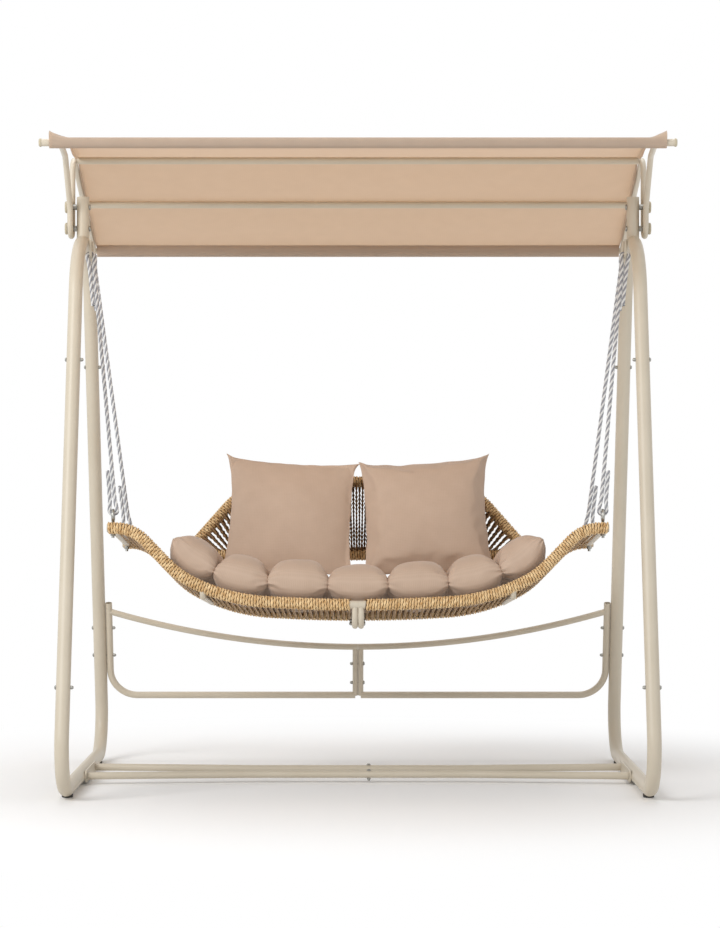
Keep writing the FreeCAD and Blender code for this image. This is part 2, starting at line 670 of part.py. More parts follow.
def bolt_shape(grip):
    """A round-headed bolt with its dome nut, from the head's seat along +Z."""
    head = dim("bolt_head_radius")
    nut = dim("bolt_nut_radius")
    outline = [
        Vector(0, 0, -dim("bolt_head_height")),
        Vector(head * 0.6, 0, -dim("bolt_head_height")),
        Vector(head, 0, -dim("bolt_head_height") * 0.4),
        Vector(head, 0, 0),
        Vector(dim("bolt_radius"), 0, 0),
        Vector(dim("bolt_radius"), 0, grip),
        Vector(nut, 0, grip),
        Vector(nut, 0, grip + dim("bolt_nut_height") * 0.55),
        Vector(nut * 0.5, 0, grip + dim("bolt_nut_height")),
        Vector(0, 0, grip + dim("bolt_nut_height")),
    ]
    section = Part.Face(Part.makePolygon(outline + outline[:1]))
    return section.revolve(Vector(0, 0, 0), Z_AXIS, 360)


def bolt_between(start, end):
    """A bolt whose head seats at start and whose nut seats at end."""
    shape = bolt_shape((end - start).Length)
    shape.Placement = along(end - start, start)
    return shape


def make_bolts():
    """Bolts of the stand: leg splices, brace, the brace's joint and the stretcher's joint."""
    across = X_AXIS * (LEG_RADIUS + FIT)
    bolts = []
    for spot in (UPPER_BOLT, back_to_front(UPPER_BOLT), FRONT_LOWER_BOLT):
        bolts.append(bolt_between(spot + across, spot - across))
    inner = X_AXIS * (SIDE_X - BRACE_X + dim("brace_radius") + FIT)
    for spot in (BRACE_UPPER_BOLT, BRACE_LOWER_BOLT):
        bolts.append(bolt_between(spot + across, spot - inner))
    bolts = bolts + [flip_x(b) for b in bolts]
    reach = BRACE_UPRIGHT_X + dim("brace_upright_radius") + FIT
    for height in (dim("centre_bolt_upper"), dim("centre_bolt_lower")):
        bolts.append(bolt_between(brace_point(reach, height), brace_point(-reach, height)))
    lift = Z_AXIS * (dim("stretcher_radius") + FIT)
    for sign in (-1, 1):
        spot = Vector(dim("stretcher_bolt"), sign * dim("stretcher_mid_spread") / 2, FLOOR_TUBE_Z)
        bolts.append(bolt_between(spot + lift, spot - lift))
    keep("frame_bolts", feature("frame_bolts", Part.makeCompound(bolts)))


# Canopy: four rails on two bent brackets, each bracket with a hub plate in its U.

BRACKET_X = dim("bracket_x")
PIVOT = Vector(BRACKET_X, 0, dim("pivot_height"))
FRONT_RAIL = Vector(0, dim("front_rail_y"), dim("front_rail_height"))
REAR_RAIL = Vector(0, dim("rear_rail_y"), dim("rear_rail_height"))
REAR_ARM_TOP = Vector(BRACKET_X, dim("bracket_bend"), dim("bracket_top_height"))
REAR_ARM_END = Vector(BRACKET_X, REAR_RAIL.y, REAR_RAIL.z)
REAR_ARM_RUN = (REAR_ARM_END - REAR_ARM_TOP).normalize()


def rear_arm_point(y):
    """A point of the rear arm's straight run."""
    share = (y - REAR_ARM_TOP.y) / (REAR_ARM_END.y - REAR_ARM_TOP.y)
    return REAR_ARM_TOP + (REAR_ARM_END - REAR_ARM_TOP) * share


def top_of_rear_bend():
    """The highest point of the rear arm's bend, where the front middle rail is welded."""
    turn = Z_AXIS.getAngle(REAR_ARM_RUN)
    reach = dim("bracket_top_radius") * math.tan(turn / 2)
    return REAR_ARM_TOP + Vector(0, dim("bracket_top_radius"), dim("bracket_top_radius") - reach)


FRONT_MIDDLE_RAIL = top_of_rear_bend()
REAR_MIDDLE_RAIL = rear_arm_point(dim("rear_middle_y"))


def hub_plate():
    """Hub plate: a tongue in the bracket's U, with the pivot hole and the clamp's arc slot."""
    half = dim("bracket_bend") - dim("bracket_radius") + dim("hub_weld")
    bend = Vector(0, 0, dim("bracket_bend_height"))
    top = dim("pivot_height") + dim("hub_top")
    corner = half * 0.5
    outline = Part.Wire([
        Part.Arc(bend - Y_AXIS * half, bend - Z_AXIS * half, bend + Y_AXIS * half).toShape(),
        Part.LineSegment(bend + Y_AXIS * half, Vector(0, half, top - corner)).toShape(),
        Part.LineSegment(Vector(0, half, top - corner), Vector(0, half - corner, top)).toShape(),
        Part.LineSegment(Vector(0, half - corner, top), Vector(0, corner - half, top)).toShape(),
        Part.LineSegment(Vector(0, corner - half, top), Vector(0, -half, top - corner)).toShape(),
        Part.LineSegment(Vector(0, -half, top - corner), bend - Y_AXIS * half).toShape(),
    ])
    thick = dim("hub_plate")
    start = X_AXIS * (BRACKET_X - thick / 2)
    plate = Part.Face(outline).extrude(X_AXIS * thick)
    plate.translate(start)
    hole = dim("pivot_bolt_radius") + dim("pivot_hole_clearance")
    pivot = Vector(BRACKET_X - thick, 0, PIVOT.z)
    plate = plate.cut(Part.makeCylinder(hole, 2 * thick, pivot, X_AXIS))
    swing = math.radians(dim("tilt_angle"))
    drop = dim("clamp_drop")

    def slot_point(radius, angle):
        """A point of the slot, about the pivot."""
        return PIVOT + Vector(0, radius * math.sin(angle), -radius * math.cos(angle)) - X_AXIS * thick

    inside = drop - hole
    outside = drop + hole
    slot = Part.Wire([
        Part.Arc(slot_point(inside, -swing), slot_point(inside, 0), slot_point(inside, swing)).toShape(),
        Part.LineSegment(slot_point(inside, swing), slot_point(outside, swing)).toShape(),
        Part.Arc(slot_point(outside, swing), slot_point(outside, 0), slot_point(outside, -swing)).toShape(),
        Part.LineSegment(slot_point(outside, -swing), slot_point(inside, -swing)).toShape(),
    ])
    plate = plate.cut(Part.Face(slot).extrude(X_AXIS * 2 * thick))
    for angle in (-swing, swing):
        plate = plate.cut(Part.makeCylinder(hole, 2 * thick, slot_point(drop, angle), X_AXIS))
    return plate


def make_brackets():
    """Bracket: one tube for front arm, tight U and rear arm, with the hub plate welded in the U."""
    bend = dim("bracket_bend")
    low = dim("bracket_bend_height")
    front_end = Vector(dim("bracket_front_x"), FRONT_RAIL.y, FRONT_RAIL.z)
    front_arm = bent_path(
        [
            front_end,
            Vector(BRACKET_X, dim("bracket_front_y"), dim("bracket_front_height")),
            Vector(BRACKET_X, -bend, dim("bracket_knee_height")),
            Vector(BRACKET_X, -bend, low),
        ],
        [dim("bracket_front_radius"), dim("bracket_knee_radius")],
    )
    rear_arm = bent_path(
        [Vector(BRACKET_X, bend, low), REAR_ARM_TOP, REAR_ARM_END],
        [dim("bracket_top_radius")],
    )
    hub = Part.Arc(
        Vector(BRACKET_X, -bend, low), Vector(BRACKET_X, 0, low - bend), Vector(BRACKET_X, bend, low),
    ).toShape()
    path = Part.Wire(front_arm.OrderedEdges + [hub] + rear_arm.OrderedEdges)
    bent = tube(path, dim("bracket_radius"), dim("bracket_wall"))
    seat = dim("rail_radius") + FIT
    width = 3 * BRACKET_X
    for rail in (FRONT_RAIL, REAR_RAIL):
        bent = bent.cut(Part.makeCylinder(seat, width, rail - X_AXIS * width / 2, X_AXIS))
    both_sides("canopy_bracket", feature("canopy_bracket_right", bent.fuse(hub_plate())))


def plugged_rail(label, centre, half):
    """An outer rail: a tube closed at each end by a round plug."""
    size = dim("rail_radius")
    shape = Part.makeCylinder(size, 2 * half, centre - X_AXIS * half, X_AXIS)
    shape = shape.cut(Part.makeCylinder(size - dim("rail_wall"), 2 * half, centre - X_AXIS * half, X_AXIS))
    keep(label, feature(label, shape))


def rail_plugs(centre, half):
    """The two end plugs of an outer rail."""
    stem = dim("rail_radius") - dim("rail_wall") - FIT
    length = dim("plug_length")
    outline = [
        Vector(0, 0, -dim("plug_depth")),
        Vector(stem, 0, -dim("plug_depth")),
        Vector(stem, 0, 0),
        Vector(dim("plug_radius"), 0, 0),
        Vector(dim("plug_radius"), 0, length * 0.6),
        Vector(dim("plug_radius") * 0.75, 0, length),
        Vector(0, 0, length),
    ]
    plug = Part.Face(Part.makePolygon(outline + outline[:1])).revolve(Vector(0, 0, 0), Z_AXIS, 360)
    plug.Placement = along(X_AXIS, centre + X_AXIS * half)
    return [plug, flip_x(plug)]


def make_rails():
    """Front and rear rails with end plugs; the two middle rails run between the brackets."""
    plugged_rail("canopy_front_rail", FRONT_RAIL, dim("front_rail_half"))
    plugged_rail("canopy_rear_rail", REAR_RAIL, dim("rear_rail_half"))
    plugs = rail_plugs(FRONT_RAIL, dim("front_rail_half")) + rail_plugs(REAR_RAIL, dim("rear_rail_half"))
    keep("rail_end_plugs", feature("rail_end_plugs", Part.makeCompound(plugs)))
    half = BRACKET_X - dim("bracket_radius") - FIT
    size = dim("rail_radius")
    for label, spot in (
        ("canopy_front_middle_rail", FRONT_MIDDLE_RAIL),
        ("canopy_rear_middle_rail", REAR_MIDDLE_RAIL),
    ):
        start = Vector(-half, spot.y, spot.z)
        bar = Part.makeCylinder(size, 2 * half, start, X_AXIS)
        bore = Part.makeCylinder(size - dim("rail_wall"), 2 * half, start, X_AXIS)
        keep(label, feature(label, bar.cut(bore)))


def make_cloth():
    """Canopy cloth: one sheet over the rails, with a hem sleeve round the front and rear rails."""
    half = dim("cloth_half")
    thick = dim("cloth_thickness")
    inner = dim("rail_radius") + dim("cloth_gap")
    outer = inner + thick
    start = -X_AXIS * half

    def sleeve(rail):
        """The hem round one rail."""
        ring = Part.makeCylinder(outer, 2 * half, rail + start, X_AXIS)
        return ring

    stations = [FRONT_RAIL, FRONT_MIDDLE_RAIL, REAR_MIDDLE_RAIL, REAR_RAIL]
    spots = [Vector(0, s.y, s.z) for s in stations]
    runs = [(b - a).normalize() for a, b in zip(spots, spots[1:])]
    normals = [Vector(0, -run.z, run.y) for run in runs]
    upper = []
    lower = []
    for i, spot in enumerate(spots):
        near = [normals[max(i - 1, 0)], normals[min(i, len(normals) - 1)]]
        mean = (near[0] + near[1]).normalize()
        lift = 1 / mean.dot(near[0])
        lower.append(spot + mean * inner * lift)
        upper.append(spot + mean * outer * lift)
    corners = lower + upper[::-1]
    sheet_solid = Part.Face(Part.makePolygon(corners + corners[:1])).extrude(X_AXIS * 2 * half)
    sheet_solid.translate(start)
    cloth = sheet_solid.fuse([sleeve(FRONT_RAIL), sleeve(REAR_RAIL)])
    for rail in (FRONT_RAIL, REAR_RAIL):
        cloth = cloth.cut(Part.makeCylinder(inner, 2 * half, rail + start, X_AXIS))
    cloth = cloth.removeSplitter()
    edge = dim("notch_front_x")
    low = min(rail.z for rail in stations) - 4 * outer
    high = dim("bracket_top_height") + 4 * outer
    plan = [
        Vector(edge, FRONT_RAIL.y, low),
        Vector(half + thick, FRONT_MIDDLE_RAIL.y, low),
        Vector(half + thick, FRONT_RAIL.y + 2 * outer, low),
        Vector(edge + dim("notch_width"), FRONT_RAIL.y + 2 * outer, low),
        Vector(edge + dim("notch_width"), FRONT_RAIL.y, low),
    ]
    notch = Part.Face(Part.makePolygon(plan + plan[:1])).extrude(Z_AXIS * (high - low))
    cloth = cloth.cut(notch).cut(flip_x(notch))
    keep("canopy_cloth", feature("canopy_cloth", cloth))


def make_pivots():
    """Pivot and clamp bolts with their spacers, and the four clamp knobs."""
    radius = dim("pivot_bolt_radius")
    gap = dim("running_gap")
    plate_inner = BRACKET_X - dim("hub_plate") / 2 - gap
    plate_outer = BRACKET_X + dim("hub_plate") / 2 + gap
    disc_start = BRACKET_X + dim("bracket_radius") + dim("knob_disc_gap")
    post_inner = SIDE_X - dim("post_radius") - FIT
    post_outer = SIDE_X + dim("post_radius") + FIT
    hole = radius + FIT
    bolts = []
    spacers = []
    for name, drop in (("pivot", 0), ("clamp", dim("clamp_drop"))):
        height = PIVOT.z - drop
        spot = Vector(0, 0, height)
        reach = plate_outer + dim("knob_depth") - 1 - post_inner
        shank = Part.makeCylinder(radius, reach, spot + X_AXIS * post_inner, X_AXIS)
        head = Part.makeCylinder(2 * radius, radius, spot + X_AXIS * (post_inner - radius), X_AXIS)
        circles = [e for e in head.Edges if e.Curve.TypeId == "Part::GeomCircle"]
        rim = [e for e in circles if e.BoundBox.XMax < post_inner - radius / 2]
        bolts.append(shank.fuse(head.makeFillet(radius * 0.5, rim)).removeSplitter())
        room = plate_inner - post_outer
        spacer = Part.makeCylinder(dim("spacer_radius"), room, spot + X_AXIS * post_outer, X_AXIS)
        spacers.append(spacer.cut(Part.makeCylinder(hole, room, spot + X_AXIS * post_outer, X_AXIS)))
        knob = turned(f"{name}_knob_turned", [
            ("Dimensions.pivot_bolt_radius + Dimensions.fit_clearance", "0"),
            ("Dimensions.knob_neck_radius", "0"),
            ("Dimensions.knob_neck_radius", str(disc_start - plate_outer)),
            ("Dimensions.knob_radius - 1", str(disc_start - plate_outer)),
            ("Dimensions.knob_radius", f"{disc_start - plate_outer} + 1"),
            ("Dimensions.knob_radius", f"{disc_start - plate_outer} + Dimensions.knob_thickness - 2"),
            ("Dimensions.knob_radius - 2", f"{disc_start - plate_outer} + Dimensions.knob_thickness"),
            ("0", f"{disc_start - plate_outer} + Dimensions.knob_thickness"),
            ("0", "Dimensions.knob_depth"),
            ("Dimensions.pivot_bolt_radius + Dimensions.fit_clearance", "Dimensions.knob_depth"),
        ])
        knob.Placement = along(X_AXIS, spot + X_AXIS * plate_outer)
        both_sides(f"{name}_knob", knob)
    keep("pivot_bolts", feature("pivot_bolts", Part.makeCompound(bolts + [flip_x(b) for b in bolts])))
    keep("pivot_spacers", feature("pivot_spacers", Part.makeCompound(spacers + [flip_x(s) for s in spacers])))


# Hanging seat, drawn level in its own frame and then leaned back on its placement.

SEAT_PLACE = Placement(
    Vector(0, dim("seat_y"), dim("seat_height")), Rotation(X_AXIS, -dim("seat_tilt")),
)
RIM_Y = dim("rim_half_depth")
END_BAR_X = dim("end_bar_x")


def seat_piece(label, shape):
    """A piece of the hanging seat."""
    thing = feature(label, shape)
    thing.Placement = SEAT_PLACE
    return keep(label, thing)


def seat_both(stem, right):
    """A right-hand seat piece and its left-hand mirror image."""
    seat_piece(f"{stem}_right", right)
    seat_piece(f"{stem}_left", flip_x(right))


def rim_arcs():
    """The rim's stretches from the middle out: (length, radius or None, starting slope, sign of the bend)."""
    flat = math.radians(dim("rim_flat_angle"))
    bend = math.radians(dim("rim_bend_angle"))
    steep = math.radians(dim("rim_rise_angle"))
    return [
        (dim("rim_flat_radius") * flat, dim("rim_flat_radius"), 0, 1),
        (dim("rim_bend_radius") * (bend - flat), dim("rim_bend_radius"), flat, 1),
        (dim("rim_rise_radius") * (steep - bend), dim("rim_rise_radius"), bend, 1),
        (dim("rim_rise_run"), None, steep, 0),
        (dim("rim_shoulder_radius") * steep, dim("rim_shoulder_radius"), steep, -1),
    ]


def rim_at(distance):
    """(x, z, slope) of the rim's centre line, by the distance along it from the middle."""
    x = 0
    z = 0
    slope = 0
    left = distance
    for length, radius, start, sign in rim_arcs():
        step = min(left, length)
        if radius is None:
            x += step * math.cos(start)
            z += step * math.sin(start)
            slope = start
        else:
            slope = start + sign * step / radius
            x += sign * radius * (math.sin(slope) - math.sin(start))
            z += sign * radius * (math.cos(start) - math.cos(slope))
        left -= step
        if left <= 0:
            return x, z, slope
    return x + left, z, 0


RIM_LENGTHS = [length for length, _, _, _ in rim_arcs()]
RIM_SHOULDER = sum(RIM_LENGTHS)
RIM_END_Z = rim_at(RIM_SHOULDER)[1]
BAR_DISTANCE = RIM_SHOULDER + END_BAR_X - rim_at(RIM_SHOULDER)[0]
RIM_LENGTH = BAR_DISTANCE + dim("rim_end_run")


def rim_x_to_distance(x):
    """Distance along the rim at which it reaches a given x."""
    low = 0
    high = RIM_LENGTH
    for _ in range(60):
        middle = (low + high) / 2
        if rim_at(middle)[0] < x:
            low = middle
        else:
            high = middle
    return low


def rim_path(y, start, end):
    """The rim's centre line between two distances from the middle."""
    def spot(distance):
        x, z, _ = rim_at(distance)
        return Vector(x, y, z)

    edges = []
    passed = 0
    for (length, radius, _, _) in rim_arcs() + [(RIM_LENGTH - RIM_SHOULDER, None, 0, 0)]:
        first = max(start, passed)
        last = min(end, passed + length)
        if last - first > 1e-6:
            if radius is None:
                edges.append(Part.LineSegment(spot(first), spot(last)).toShape())
            else:
                edges.append(Part.Arc(spot(first), spot((first + last) / 2), spot(last)).toShape())
        passed += length
    return Part.Wire(edges)


BACK_RAKE = math.radians(dim("back_rake"))
BACK_OUT = Vector(0, math.sin(BACK_RAKE), math.cos(BACK_RAKE))
BACK_SIDE = math.radians(dim("back_side_angle"))


def back_outline():
    """The back's corners in its plane: end of the crown arc, and of the corner arc."""
    crown = math.radians(dim("back_crown_angle"))
    big = dim("back_crown_radius")
    small = dim("back_corner_radius")
    crown_end = (big * math.sin(crown), dim("back_top") - big * (1 - math.cos(crown)))
    corner_end = (
        crown_end[0] + small * (math.sin(BACK_SIDE) - math.sin(crown)),
        crown_end[1] - small * (math.cos(crown) - math.cos(BACK_SIDE)),
    )
    return crown, crown_end, corner_end


def back_side_at(height):
    """How far across the back's straight side is at a height."""
    _, _, corner_end = back_outline()
    return corner_end[0] + (corner_end[1] - height) / math.tan(BACK_SIDE)


def back_foot():
    """Where the back's side comes down to the rear rim's centre line, in the back's plane."""
    low = 0
    high = RIM_LENGTH
    for _ in range(60):
        middle = (low + high) / 2
        x, z, _ = rim_at(middle)
        if back_side_at(z / math.cos(BACK_RAKE)) > x:
            low = middle
        else:
            high = middle
    x, z, _ = rim_at(low)
    return x, z / math.cos(BACK_RAKE)


# The back's leaning plane goes through the rear rim where the sides stand on it.
BACK_BASE_Y = RIM_Y - math.sin(BACK_RAKE) * back_foot()[1]


def back_point(across, height):
    """A point of the back's leaning plane; height is measured along the plane."""
    return Vector(across, BACK_BASE_Y, 0) + BACK_OUT * height


def back_side_path(foot_height):
    """The back's arch from one foot over the crown to the other."""
    crown, crown_end, corner_end = back_outline()
    small = dim("back_corner_radius")
    turn = (crown + BACK_SIDE) / 2
    corner_middle = (
        crown_end[0] + small * (math.sin(turn) - math.sin(crown)),
        crown_end[1] - small * (math.cos(crown) - math.cos(turn)),
    )
    foot = (back_side_at(foot_height), foot_height)

    def spot(pair, sign):
        return back_point(sign * pair[0], pair[1])

    return Part.Wire([
        Part.LineSegment(spot(foot, 1), spot(corner_end, 1)).toShape(),
        Part.Arc(spot(corner_end, 1), spot(corner_middle, 1), spot(crown_end, 1)).toShape(),
        Part.Arc(spot(crown_end, 1), back_point(0, dim("back_top")), spot(crown_end, -1)).toShape(),
        Part.Arc(spot(crown_end, -1), spot(corner_middle, -1), spot(corner_end, -1)).toShape(),
        Part.LineSegment(spot(corner_end, -1), spot(foot, -1)).toShape(),
    ])


def back_rail_end():
    """Half of the lower rail: from the middle to the centre line of the back's side."""
    return back_side_at(dim("back_rail_height"))


CENTRE_RIB_X = dim("rib_radius") + dim("joint_gap") / 2


def rib_path(x, drop, bend, reach):
    """A cross rib: down from the front rim, then back under the strands towards the rear rim."""
    level = rim_at(rim_x_to_distance(x))[1]
    share = (reach + RIM_Y) / (2 * RIM_Y)
    corners = [
        Vector(x, -RIM_Y, level - dim("rim_radius") * 0.5),
        Vector(x, -RIM_Y, level - drop),
        Vector(x, reach, level - drop * (1 - share) - dim("rib_rear_drop") * share),
    ]
    return bent_path(corners, [bend])


def centre_rib_height(y):
    """Height of the centre rib's sloping run."""
    share = (y + RIM_Y) / (2 * RIM_Y)
    level = rim_at(rim_x_to_distance(CENTRE_RIB_X))[1]
    return level - dim("rib_drop") * (1 - share) - dim("rib_rear_drop") * share


def make_seat_frame():
    """Two half frames: front and rear rim, end bar between them and cross ribs."""
    size = dim("rim_radius")
    wall = dim("seat_wall")
    rim_solids = []
    for stem, y in (("seat_front_rim", -RIM_Y), ("seat_rear_rim", RIM_Y)):
        start = dim("joint_gap") / 2
        outer = rod(rim_path(y, start, RIM_LENGTH), size)
        inner = rod(rim_path(y, start, RIM_LENGTH - wall), size - wall)
        seat_both(stem, outer.cut(inner))
        rim_solids.append(rod(rim_path(y, 0, RIM_LENGTH), size + FIT))

    bar = dim("end_bar_radius")
    shank = dim("eye_bar_radius") + dim("pivot_hole_clearance")
    start = Vector(END_BAR_X, -RIM_Y, RIM_END_Z)
    end_bar = Part.makeCylinder(bar, 2 * RIM_Y, start, Y_AXIS)
    end_bar = end_bar.cut(Part.makeCylinder(bar - wall, 2 * RIM_Y, start, Y_AXIS))
    for solid in rim_solids:
        end_bar = end_bar.cut(solid)
    for y in (-dim("eye_y"), dim("eye_y")):
        end_bar = end_bar.cut(Part.makeCylinder(shank, 4 * bar, Vector(END_BAR_X, y, RIM_END_Z - 2 * bar)))
    seat_both("seat_end_bar", Part.Solid(max(end_bar.Solids, key=lambda s: s.Volume)))

    ribs = []
    reach = RIM_Y - dim("rib_radius") / 2
    for x, drop, bend in (
        (CENTRE_RIB_X, dim("rib_drop"), dim("rib_bend_radius")),
        (dim("mid_rib_x"), dim("mid_rib_drop"), dim("mid_rib_bend_radius")),
    ):
        rib = tube(rib_path(x, drop, bend, reach), dim("rib_radius"), wall)
        for solid in rim_solids:
            rib = rib.cut(solid)
        ribs.append(max(rib.Solids, key=lambda s: s.Volume))
    side = CENTRE_RIB_X + dim("rib_radius") + FIT
    bolts = []
    for y in (-dim("seat_bolt_front"), dim("seat_bolt_rear")):
        height = centre_rib_height(y)
        hole = Part.makeCylinder(dim("bolt_radius") + FIT, 4 * side, Vector(-2 * side, y, height), X_AXIS)
        ribs[0] = ribs[0].cut(hole)
        bolts.append(bolt_between(Vector(side, y, height), Vector(-side, y, height)))
    seat_both("seat_cross_ribs", Part.makeCompound(ribs))
    seat_piece("seat_joint_bolts", Part.makeCompound(bolts))


def make_wraps():
    """Wrapping of the rims and of the back's frame: sleeves with room for what joins the tubes."""
    size = dim("rim_radius") + FIT
    outer = dim("wrap_radius")
    end = RIM_LENGTH - FIT
    _, foot_height = back_foot()
    back_tube = dim("back_tube_radius")
    gap = dim("strand_gap")
    back_sides = rod(back_side_path(foot_height), back_tube + gap)
    bar_start = Vector(END_BAR_X, -RIM_Y, RIM_END_Z)
    bar_room = Part.makeCylinder(dim("end_bar_radius") + gap, 2 * RIM_Y, bar_start, Y_AXIS)
    rib_line = rib_path(dim("mid_rib_x"), dim("mid_rib_drop"), dim("mid_rib_bend_radius"), RIM_Y)
    rib_room = rod(rib_line, dim("rib_radius") + gap)
    wraps = []
    for y in (-RIM_Y, RIM_Y):
        path = rim_path(y, dim("wrap_centre_gap"), end)
        sleeve = rod(path, outer).cut(rod(path, size)).cut(bar_room).cut(rib_room)
        if y > 0:
            sleeve = sleeve.cut(back_sides)
        wraps.append(sleeve)
    wraps = wraps + [flip_x(w) for w in wraps]
    seat_piece("rim_wraps", Part.makeCompound(wraps))

    path = back_side_path(foot_height + 1.2 * (outer + gap))
    sleeve = rod(path, outer).cut(rod(path, back_tube + FIT)).cut(back_rail(back_tube + gap))
    rail = back_rail(outer).cut(back_rail(back_tube + FIT)).cut(rod(path, outer + FIT))
    seat_piece("back_wrap", Part.makeCompound([sleeve, rail]))


def back_rail(radius):
    """The lower rail of the back as a round bar, from side to side."""
    half = back_rail_end()
    height = dim("back_rail_height")
    return straight_rod(back_point(-half, height), back_point(half, height), radius)


def make_back_frame():
    """Back frame: the arch down to the rear rim, and its lower rail."""
    size = dim("back_tube_radius")
    wall = dim("seat_wall")
    _, foot_height = back_foot()
    path = back_side_path(foot_height)
    rim = rod(rim_path(RIM_Y, 0, RIM_LENGTH), dim("rim_radius") + FIT)
    arch = tube(path, size, wall).cut(rim).cut(flip_x(rim))
    rail = back_rail(size).cut(back_rail(size - wall)).cut(rod(path, size + FIT))
    seat_piece("back_frame", Part.makeCompound([arch, rail]))


def strap(start, end, width, thick, across):
    """A flat strand between two points; across is the direction of its width."""
    run = end - start
    heading = Vector(run)
    heading.normalize()
    side = across - heading * across.dot(heading)
    side.normalize()
    up = heading.cross(side)
    corner = start - side * width / 2 - up * thick / 2
    section = [corner, corner + side * width, corner + side * width + up * thick, corner + up * thick]
    return Part.Face(Part.makePolygon(section + section[:1])).extrude(run)


def make_strands():
    """Seat strands from rim to rim, and the fan of strands in the back."""
    reach = RIM_Y - dim("wrap_radius") - dim("strand_gap")
    pitch = dim("strand_pitch")
    first = dim("wrap_centre_gap") + dim("strand_width")
    last = BAR_DISTANCE - dim("end_bar_radius") - dim("strand_width")
    strands = []
    for n in range(int((last - first) / pitch) + 1):
        x, z, slope = rim_at(first + n * pitch)
        across = Vector(math.cos(slope), 0, math.sin(slope))
        strands.append(strap(
            Vector(x, -reach, z), Vector(x, reach, z), dim("strand_width"), dim("strand_thickness"), across,
        ))
    strands = strands + [flip_x(s) for s in strands]
    seat_piece("seat_strands", Part.makeCompound(strands))

    edge = dim("wrap_radius") + dim("strand_gap")
    arch = back_side_path(dim("back_rail_height"))
    trim = rod(arch, edge).fuse(back_rail(edge))
    count = int(dim("back_strand_count"))
    tops = arch.discretize(Number=count + 2)[1:-1]
    fan = []
    for n, top in enumerate(tops):
        across = dim("back_strand_spread") * (1 - 2 * (n + 1) / (count + 1))
        low = back_point(across, dim("back_rail_height"))
        whole = strap(low, top, dim("back_strand_width"), dim("strand_thickness"), X_AXIS)
        fan += [s for s in whole.cut(trim).Solids if s.BoundBox.DiagonalLength > 2 * edge]
    print(f"{len(fan)} strands in the back")
    seat_piece("back_strands", Part.makeCompound(fan))


def eye_centre(y):
    """Centre of an eye, in the seat's own frame."""
    return Vector(END_BAR_X, y, RIM_END_Z + dim("end_bar_radius") + dim("eye_stand"))


def make_eye_bolts():
    """Eye bolts down through the end bars, with washer and nut below."""
    bar = dim("eye_bar_radius")
    size = dim("end_bar_radius")
    eyes = []
    nuts = []
    for y in (-dim("eye_y"), dim("eye_y")):
        centre = eye_centre(y)
        ring = Part.makeTorus(dim("eye_radius"), bar, centre, X_AXIS)
        low = Vector(END_BAR_X, y, RIM_END_Z - size - dim("eye_tail"))
        shank = Part.makeCylinder(bar, centre.z - dim("eye_radius") - low.z, low)
        collar = Part.makeCylinder(2 * bar, FIT * 20, Vector(END_BAR_X, y, RIM_END_Z + size))
        eyes.append(ring.fuse([shank, collar]))
        under = RIM_END_Z - size - FIT - dim("washer_height")
        washer = Part.makeCylinder(dim("washer_radius"), dim("washer_height"), Vector(END_BAR_X, y, under))
        corners = [
            Vector(END_BAR_X, y, under - dim("nut_height"))
            + Vector(math.cos(k * math.pi / 3), math.sin(k * math.pi / 3), 0) * dim("nut_radius")
            for k in range(6)
        ]
        nut = Part.Face(Part.makePolygon(corners + corners[:1])).extrude(Z_AXIS * dim("nut_height"))
        bore = Part.makeCylinder(bar + FIT, 6 * size, low - Z_AXIS * 2 * size)
        nuts.append(washer.fuse(nut).cut(bore).removeSplitter())
    pieces = eyes + nuts
    seat_piece("eye_bolts", Part.makeCompound(pieces + [flip_x(p) for p in pieces]))


